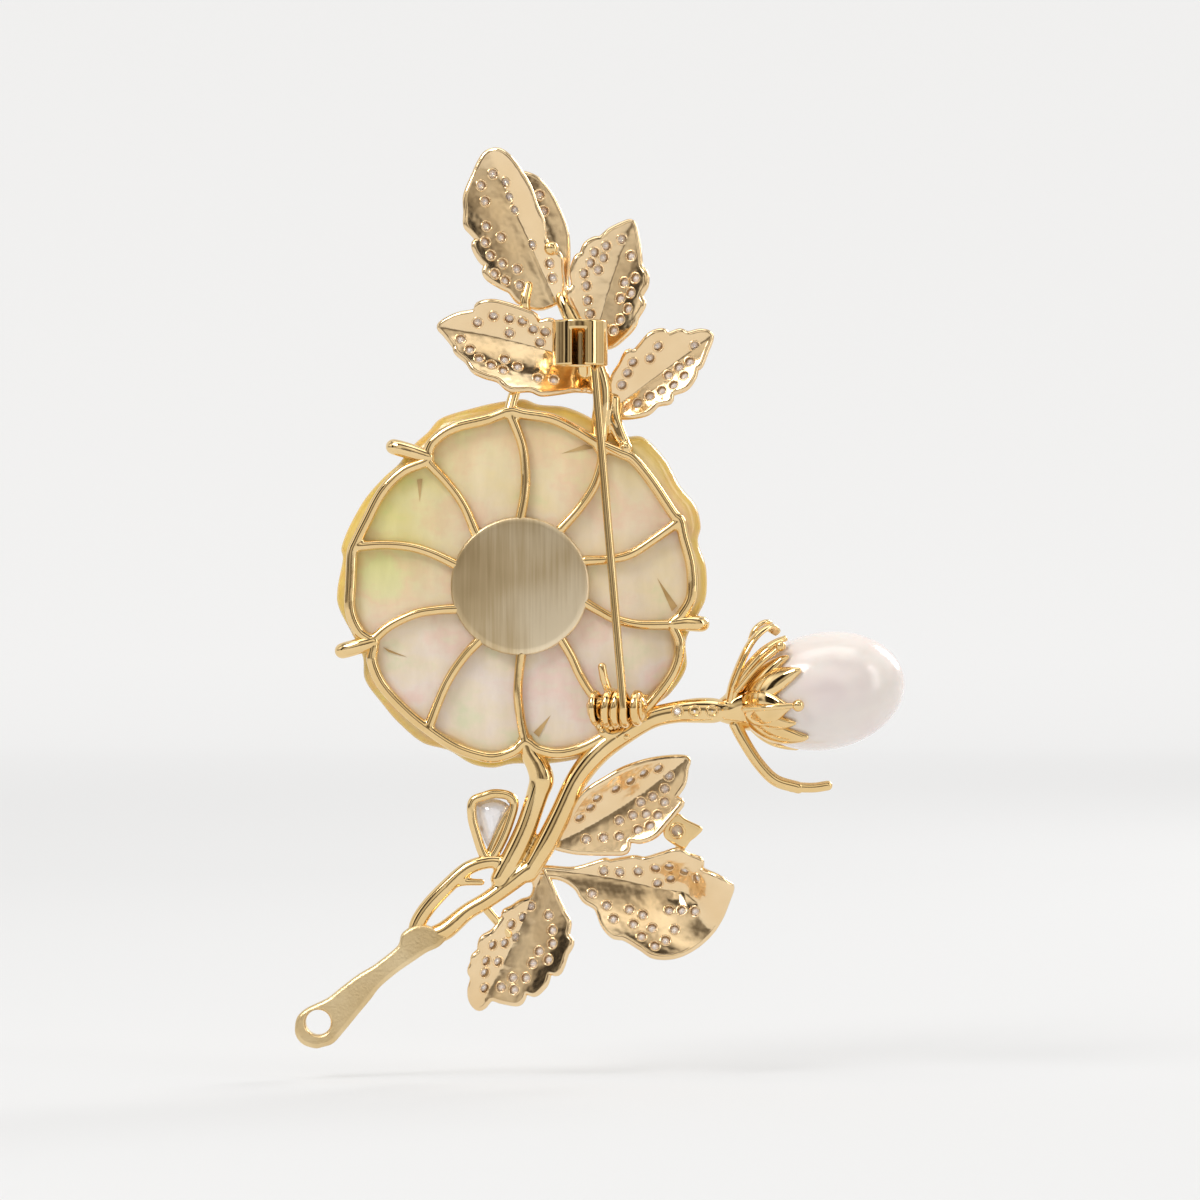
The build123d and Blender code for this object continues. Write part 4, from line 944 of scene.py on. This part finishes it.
def sepal(s_from, s_to, turns, width, thick=0.3, grow=0.22):
    points = []
    widths = []
    for t in np.linspace(0, 1, 9):
        s = s_from + (s_to - s_from) * t
        points.append(on_pearl(s, turns[0] + (turns[1] - turns[0]) * t, grow + 0.25 * max(0, t - 0.8)))
        widths.append(width * (0.45 + 0.75 * math.sin(math.pi * (0.12 + 0.72 * t))) * (1 - 0.82 * t ** 5))
    return strip(points, widths, thick)


back_sepals = Soup(sepal(0.05, 0.42, (22, 26), 1.05), sepal(0.08, 0.385, (38, 46), 0.70),
                   sepal(0.05, 0.35, (-4, -8), 1.25, thick=0.32, grow=0.34), sepal(0.05, 0.40, (-50, -44), 0.95),
                   sepal(0.06, 0.36, (-28, -26), 0.70, thick=0.28))
build("back_sepals", back_sepals, POLISHED)
front_sepals = Soup(*[sepal(0.05, 0.37, (turn, turn + 4), 1.15) for turn in (118, 155, 195, 240)])
build("front_sepals", front_sepals, POLISHED)
curl = Soup(strip([(15.6, -8.8, -0.7), (15.9, -7.4, -0.4), (16.5, -5.8, -0.3), (17.2, -4.4, -0.5), (18.0, -3.5, -0.9),
                   (18.8, -3.1, -1.3), (19.4, -3.5, -1.6)], [0.55, 0.62, 0.66, 0.64, 0.62, 0.5, 0.30], 0.26),
            strip([(15.8, -8.6, -0.6), (16.7, -6.6, 0.3), (17.9, -5.1, 0.7), (19.0, -4.3, 0.6), (19.9, -3.9, 0.2)],
                  [0.4, 0.5, 0.55, 0.5, 0.3], 0.22),
            strip([(17.2, -4.4, -1.2), (17.6, -3.3, -1.4), (18.3, -2.75, -1.6), (18.9, -2.8, -1.9)],
                  [0.3, 0.42, 0.4, 0.22], 0.2))
build("curled_sepal", curl, POLISHED)
stamens = Soup(tube([(16.3, -7.8, 0.5, 0.22), (17.8, -6.0, 1.2, 0.2), (19.2, -4.8, 1.4, 0.2)], sides=14),
               globe((19.5, -4.5, 1.45), 0.40, rings=14, sides=22),
               tube([(16.8, -9.2, 1.6, 0.26), (18.5, -9.05, 2.85, 0.22), (20.3, -8.9, 3.15, 0.22)], sides=14),
               globe((20.75, -8.9, 3.2), 0.46, rings=14, sides=22))
build("stamens", stamens, POLISHED)
tendril = Soup(tube([(16.2, -10.4, -1.0, 0.5), (16.8, -11.6, -0.9, 0.46), (17.9, -13.3, -0.9, 0.45),
                     (19.2, -14.6, -0.9, 0.46), (20.9, -15.15, -0.9, 0.46)]),
               tube([(20.4, -15.1, -0.9, 0.40), (22.0, -15.15, -0.9, 0.38), (23.1, -15.0, -0.9, 0.38)]))
build("tendril", tendril, POLISHED)

# ------------------------------------------------------------------ pin, joint and catch
TURN = math.radians(15)
along_rivet = np.array([-math.cos(TURN), math.sin(TURN), 0.0])
outward = np.array([math.sin(TURN), math.cos(TURN), 0.0])
upward = np.array([0.0, 0.0, 1.0])
pivot = np.array([-7.36, 1.9, -9.1])
PITCH, COIL_R, COIL_TURNS, COIL_STEPS, PIN_R = 0.72, 1.2, 2.5, 180, 0.32
coil_start = pivot + along_rivet * PITCH
tip = np.array([-5.4, 1.35, 18.7])
stem_foot = coil_start + outward * COIL_R
wire = []
for t in 1 - np.arange(41) / 40:
    r = PIN_R if t < 0.94 else PIN_R - 0.20 * (t - 0.94) / 0.06
    wire.append((*(stem_foot + (tip - stem_foot) * t), r))
for share in np.arange(1, COIL_STEPS + 1) / COIL_STEPS:
    a = 2 * math.pi * COIL_TURNS * share
    p = coil_start - along_rivet * PITCH * COIL_TURNS * share + COIL_R * (outward * math.cos(a) - upward * math.sin(a))
    wire.append((*p, PIN_R))
wire += [(*(p + upward * z), PIN_R) for z in (0.5, 0.9, 1.3)]
wire += [(-6.3, 0.74, -6.9, PIN_R), (-6.15, 0.75, -6.05, PIN_R)]
pin = tube([(-x, z, y, r) for x, y, z, r in wire], sides=24, smooth_path=False)
build("pin_wire", Soup(pin), POLISHED, body="pin")

EAR_R = 1.36
EAR_EDGE = ((0.0, 0.3), (0.05, 0.13), (0.17, 0.02), (0.25, 0.0))
BOX_FACES = [(0, 1, 3, 2), (4, 6, 7, 5), (0, 4, 5, 1), (2, 3, 7, 6), (0, 2, 6, 4), (1, 5, 7, 3)]
joint = Soup()
for inner, outer in ((-2.03, -1.48), (1.13, 1.80)):
    ear = [(inner, 0.4)] + [(inner + s, EAR_R - drop) for s, drop in EAR_EDGE]
    ear += [(outer - s, EAR_R - drop) for s, drop in EAR_EDGE[::-1]] + [(outer, 0.4)]
    joint.add(*lathe(ear, pivot, along_rivet))
    foot = pivot + along_rivet * (inner + outer) / 2 - outward * 0.95
    reach_along = along_rivet * (outer - inner) / 2 * 0.96
    corners = [foot + da * reach_along + do * outward * 0.85 + dz * upward
               for da in (-1, 1) for do in (-1, 1) for dz in (-1, 1)]
    joint.add(np.array(corners) * MM, BOX_FACES)
melt(build("joint_ears", joint, POLISHED), 0.05, 3)
RIVET = [
    (-2.33, 0.02), (-2.33, 0.4), (-2.26, 0.66), (-2.12, 0.86), (-2.05, 0.93), (-2.04, 0.8), (1.82, 0.8),
    (1.83, 0.93), (1.92, 0.86), (2.04, 0.66), (2.10, 0.4), (2.10, 0.02)]
build("hinge_rivet", Soup(lathe(RIVET, pivot, along_rivet)), POLISHED)
base = Soup(tube([(5.5, -9.0, -0.15, 0.55), (7.1, -9.2, -0.1, 0.6), (9.0, -9.2, 0.15, 0.55)], flat=0.6),
            tube([(6.0, -10.3, -0.4, 0.5), (6.7, -11.1, -0.35, 0.62), (7.4, -11.0, -0.35, 0.55)]))
for i in range(14):
    spot = (6.1 + 1.9 * rng.random(), -10.55 - 0.95 * rng.random(), -0.15 + 0.28 * rng.random())
    base.add(*globe(spot, 0.16 + 0.12 * rng.random(), rings=7, sides=10))
melt(build("joint_base", base, POLISHED), 0.06, 2)

CATCH = (4.5, 16.4, 2.3)
OUTER, WALL, LONG = 2.08, 0.36, 3.4
LIP_RIGHT = math.degrees(math.asin((5.02 - CATCH[0]) / OUTER)) + 2
LIP_LEFT = -math.degrees(math.asin((CATCH[0] - 3.72) / OUTER)) - 1
LIP_ROUNDING = ((0.10, 0.0), (0.03, 0.03), (0.0, 0.10))


def catch_wall(from_deg, to_deg, low, high):
    """Part of the catch tube's wall, between two directions and two heights."""
    steps = max(8, int(abs(to_deg - from_deg) / 3.5))
    levels = [(low + z, inset) for inset, z in LIP_ROUNDING] + [(high - z, inset) for inset, z in LIP_ROUNDING[::-1]]
    section = [(OUTER - inset, z) for z, inset in levels] + [(OUTER - WALL + inset, z) for z, inset in levels[::-1]]
    rows = []
    for a in np.radians(from_deg + (to_deg - from_deg) * np.arange(steps + 1) / steps):
        rows += [(CATCH[0] + math.sin(a) * r, z, CATCH[2] + math.cos(a) * r) for r, z in section]
    return to_xyz(rows), grid_faces(steps + 1, len(section), caps=True)


# A tube open along a slot, with rolled lips, its upper end a closed band.
catch = Soup(catch_wall(LIP_RIGHT, 360 + LIP_LEFT, CATCH[1], CATCH[1] + LONG),
             catch_wall(LIP_LEFT - 4, LIP_RIGHT + 4, CATCH[1] + LONG - 0.68, CATCH[1] + LONG))
for a in np.radians([LIP_RIGHT, LIP_LEFT]):
    r = OUTER - WALL / 2
    x, y = CATCH[0] + math.sin(a) * r, CATCH[2] + math.cos(a) * r
    catch.add(*tube([(x, CATCH[1] + 0.15, y, WALL / 2), (x, CATCH[1] + LONG - 0.5, y, WALL / 2)], sides=16))
melt(build("catch_tube", catch, POLISHED), 0.055, 3)
catch_post = tube([(4.9, 16.1, -0.1, 0.6), (4.8, 17.2, 0.1, 0.62), (4.5, 18.4, 0.1, 0.55)], flat=0.8)
build("catch_post", Soup(catch_post), POLISHED)

# ------------------------------------------------------------------ flower centre
BOSS = [
    (-1.0, 1.15), (-3.4, 1.15), (-3.5, 3.0), (-3.6, 3.3), (-3.9, 3.4), (-4.2, 3.2), (-4.6, 2.7), (-5.0, 2.1),
    (-5.25, 1.5), (-5.3, 0.02)]
boss = Soup(lathe(BOSS, np.zeros(3), (0, 1, 0)))
for a in circle(18):
    boss.add(*globe((3.35 * math.cos(a), 3.35 * math.sin(a), -3.9), 0.34, sides=14))
build("flower_boss", boss, POLISHED)
centre_gems = Soup()
for a in circle(9):
    out = np.array([0.45 * math.cos(a), -1.0, 0.45 * math.sin(a)])
    out /= np.linalg.norm(out)
    centre_gems.add(*stone(np.array([2.65 * math.cos(a), -4.62, 2.65 * math.sin(a)]), out, r=0.42))
centre_gems.add(*stone(np.array([0, -5.35, 0]), (0, -1, 0), r=0.88, sides=12, back=0.5, crown=0.5))
build("boss_stones", centre_gems, CLEAR, smooth=False)

# ------------------------------------------------------------------ studio
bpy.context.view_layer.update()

FLOOR_Z = -37.0 * MM
FLOOR_HALF = 3.0
COVE_R = 0.6
floor_mat, tree, shader, coords = material("studio_floor")
pale = ramp(tree, noise(tree, coords, 3.0, 2.0), [(0.3, (0.33, 0.33, 0.33)), (0.7, (0.335, 0.335, 0.335))])
tree.links.new(pale, shader.inputs["Base Color"])
settle(shader, {"Roughness": 0.9, "Emission Color": (1.0, 1.0, 1.0, 1.0), "Specular IOR Level": 0.0})
mapped(tree, split(tree, coords.outputs["Object"])["Y"], shader.inputs["Emission Strength"],
       {"From Min": -1.05, "From Max": -0.3, "To Min": 0.66, "To Max": 0.475})
cove = [(-0.9 - COVE_R * math.sin(a), COVE_R * (1 - math.cos(a))) for a in np.linspace(0, math.pi / 2, 25)]
profile = [(2.5, 0.0)] + cove + [(-1.5, 3.0)]
verts = [(x, y, FLOOR_Z + z) for y, z in profile for x in (-FLOOR_HALF, FLOOR_HALF)]
faces = [(2 * i - 2, 2 * i - 1, 2 * i + 1, 2 * i) for i in range(1, len(profile))]
floor_mesh = bpy.data.meshes.new("studio_floor")
floor_mesh.from_pydata(verts, [], faces)
floor_mesh.polygons.foreach_set("use_smooth", [True] * len(floor_mesh.polygons))
floor_mesh.materials.append(floor_mat)
floor = bpy.data.objects.new("studio_floor", floor_mesh)
bpy.context.scene.collection.objects.link(floor)

# Surroundings for the gold to reflect: a dark band, lighter above, broken up by soft cards.
world = bpy.data.worlds.new("studio")
bpy.context.scene.world = world
world.use_nodes = True
wt = world.node_tree
background = wt.nodes["Background"]
sky = wt.nodes.new("ShaderNodeTexCoord").outputs["Generated"]
towards = split(wt, sky)
facing = ramp(wt, towards["Y"], [
    (0.0, (0.62, 0.62, 0.62)), (0.30, (0.80, 0.80, 0.80)), (0.40, (0.95, 0.95, 0.95)), (0.45, (0.03, 0.025, 0.02)),
    (0.62, (0.03, 0.025, 0.02)), (0.68, (0.70, 0.69, 0.67)), (0.88, (0.62, 0.61, 0.59)), (1.0, (0.40, 0.385, 0.365))])
height = ramp(wt, scaled(wt, towards["Z"], 0.5, 0.5), [
    (0.0, (0.30, 0.27, 0.24)), (0.42, (0.42, 0.39, 0.36)), (0.60, (0.85, 0.84, 0.82)), (0.80, (1.25, 1.24, 1.22)),
    (1.0, (0.9, 0.9, 0.9))])
patches = node(wt, "ShaderNodeTexNoise", Scale=2.4, Detail=1.5, Roughness=0.4)
wt.links.new(sky, patches.inputs["Vector"])
cards = ramp(wt, patches.outputs["Fac"], [
    (0.36, (0.22, 0.19, 0.16)), (0.48, (0.85, 0.83, 0.80)), (0.62, (1.35, 1.35, 1.33))])
wt.links.new(multiply(wt, multiply(wt, facing, height), cards), background.inputs["Color"])
background.inputs["Strength"].default_value = 1.15


def softbox(name, place, aim, size, power):
    lamp = bpy.data.lights.new(name, "AREA")
    lamp.shape = "RECTANGLE"
    lamp.size, lamp.size_y = size
    lamp.energy = power
    obj = bpy.data.objects.new(name, lamp)
    obj.location = place
    obj.rotation_euler = (Vector(aim) - Vector(place)).to_track_quat("-Z", "Y").to_euler()
    bpy.context.scene.collection.objects.link(obj)


softbox("key", (0.30, 0.30, 0.42), (0, 0, 0), (0.22, 0.22), 1.5)
softbox("fill", (-0.45, 0.22, 0.10), (0, 0, 0), (0.10, 0.5), 0.35)
softbox("overhead", (0.0, 0.05, 0.55), (0, 0, -0.03), (0.5, 0.2), 0.5)
softbox("front", (-0.35, -0.35, 0.25), (0, 0, 0), (0.15, 0.25), 1.2)

camera = bpy.data.cameras.new("camera")
camera.lens = 160
camera.sensor_width = 36
camera.clip_end = 20
eye = bpy.data.objects.new("camera", camera)
eye.location = (-6.0 * MM, 0.4, -1.05 * MM)
eye.rotation_euler = (math.pi / 2, 0, math.pi)
bpy.context.scene.collection.objects.link(eye)
bpy.context.scene.camera = eye
bpy.context.scene.view_settings.view_transform = "Standard"
bpy.context.scene.view_settings.look = "None"
bpy.context.scene.view_settings.exposure = 0.0
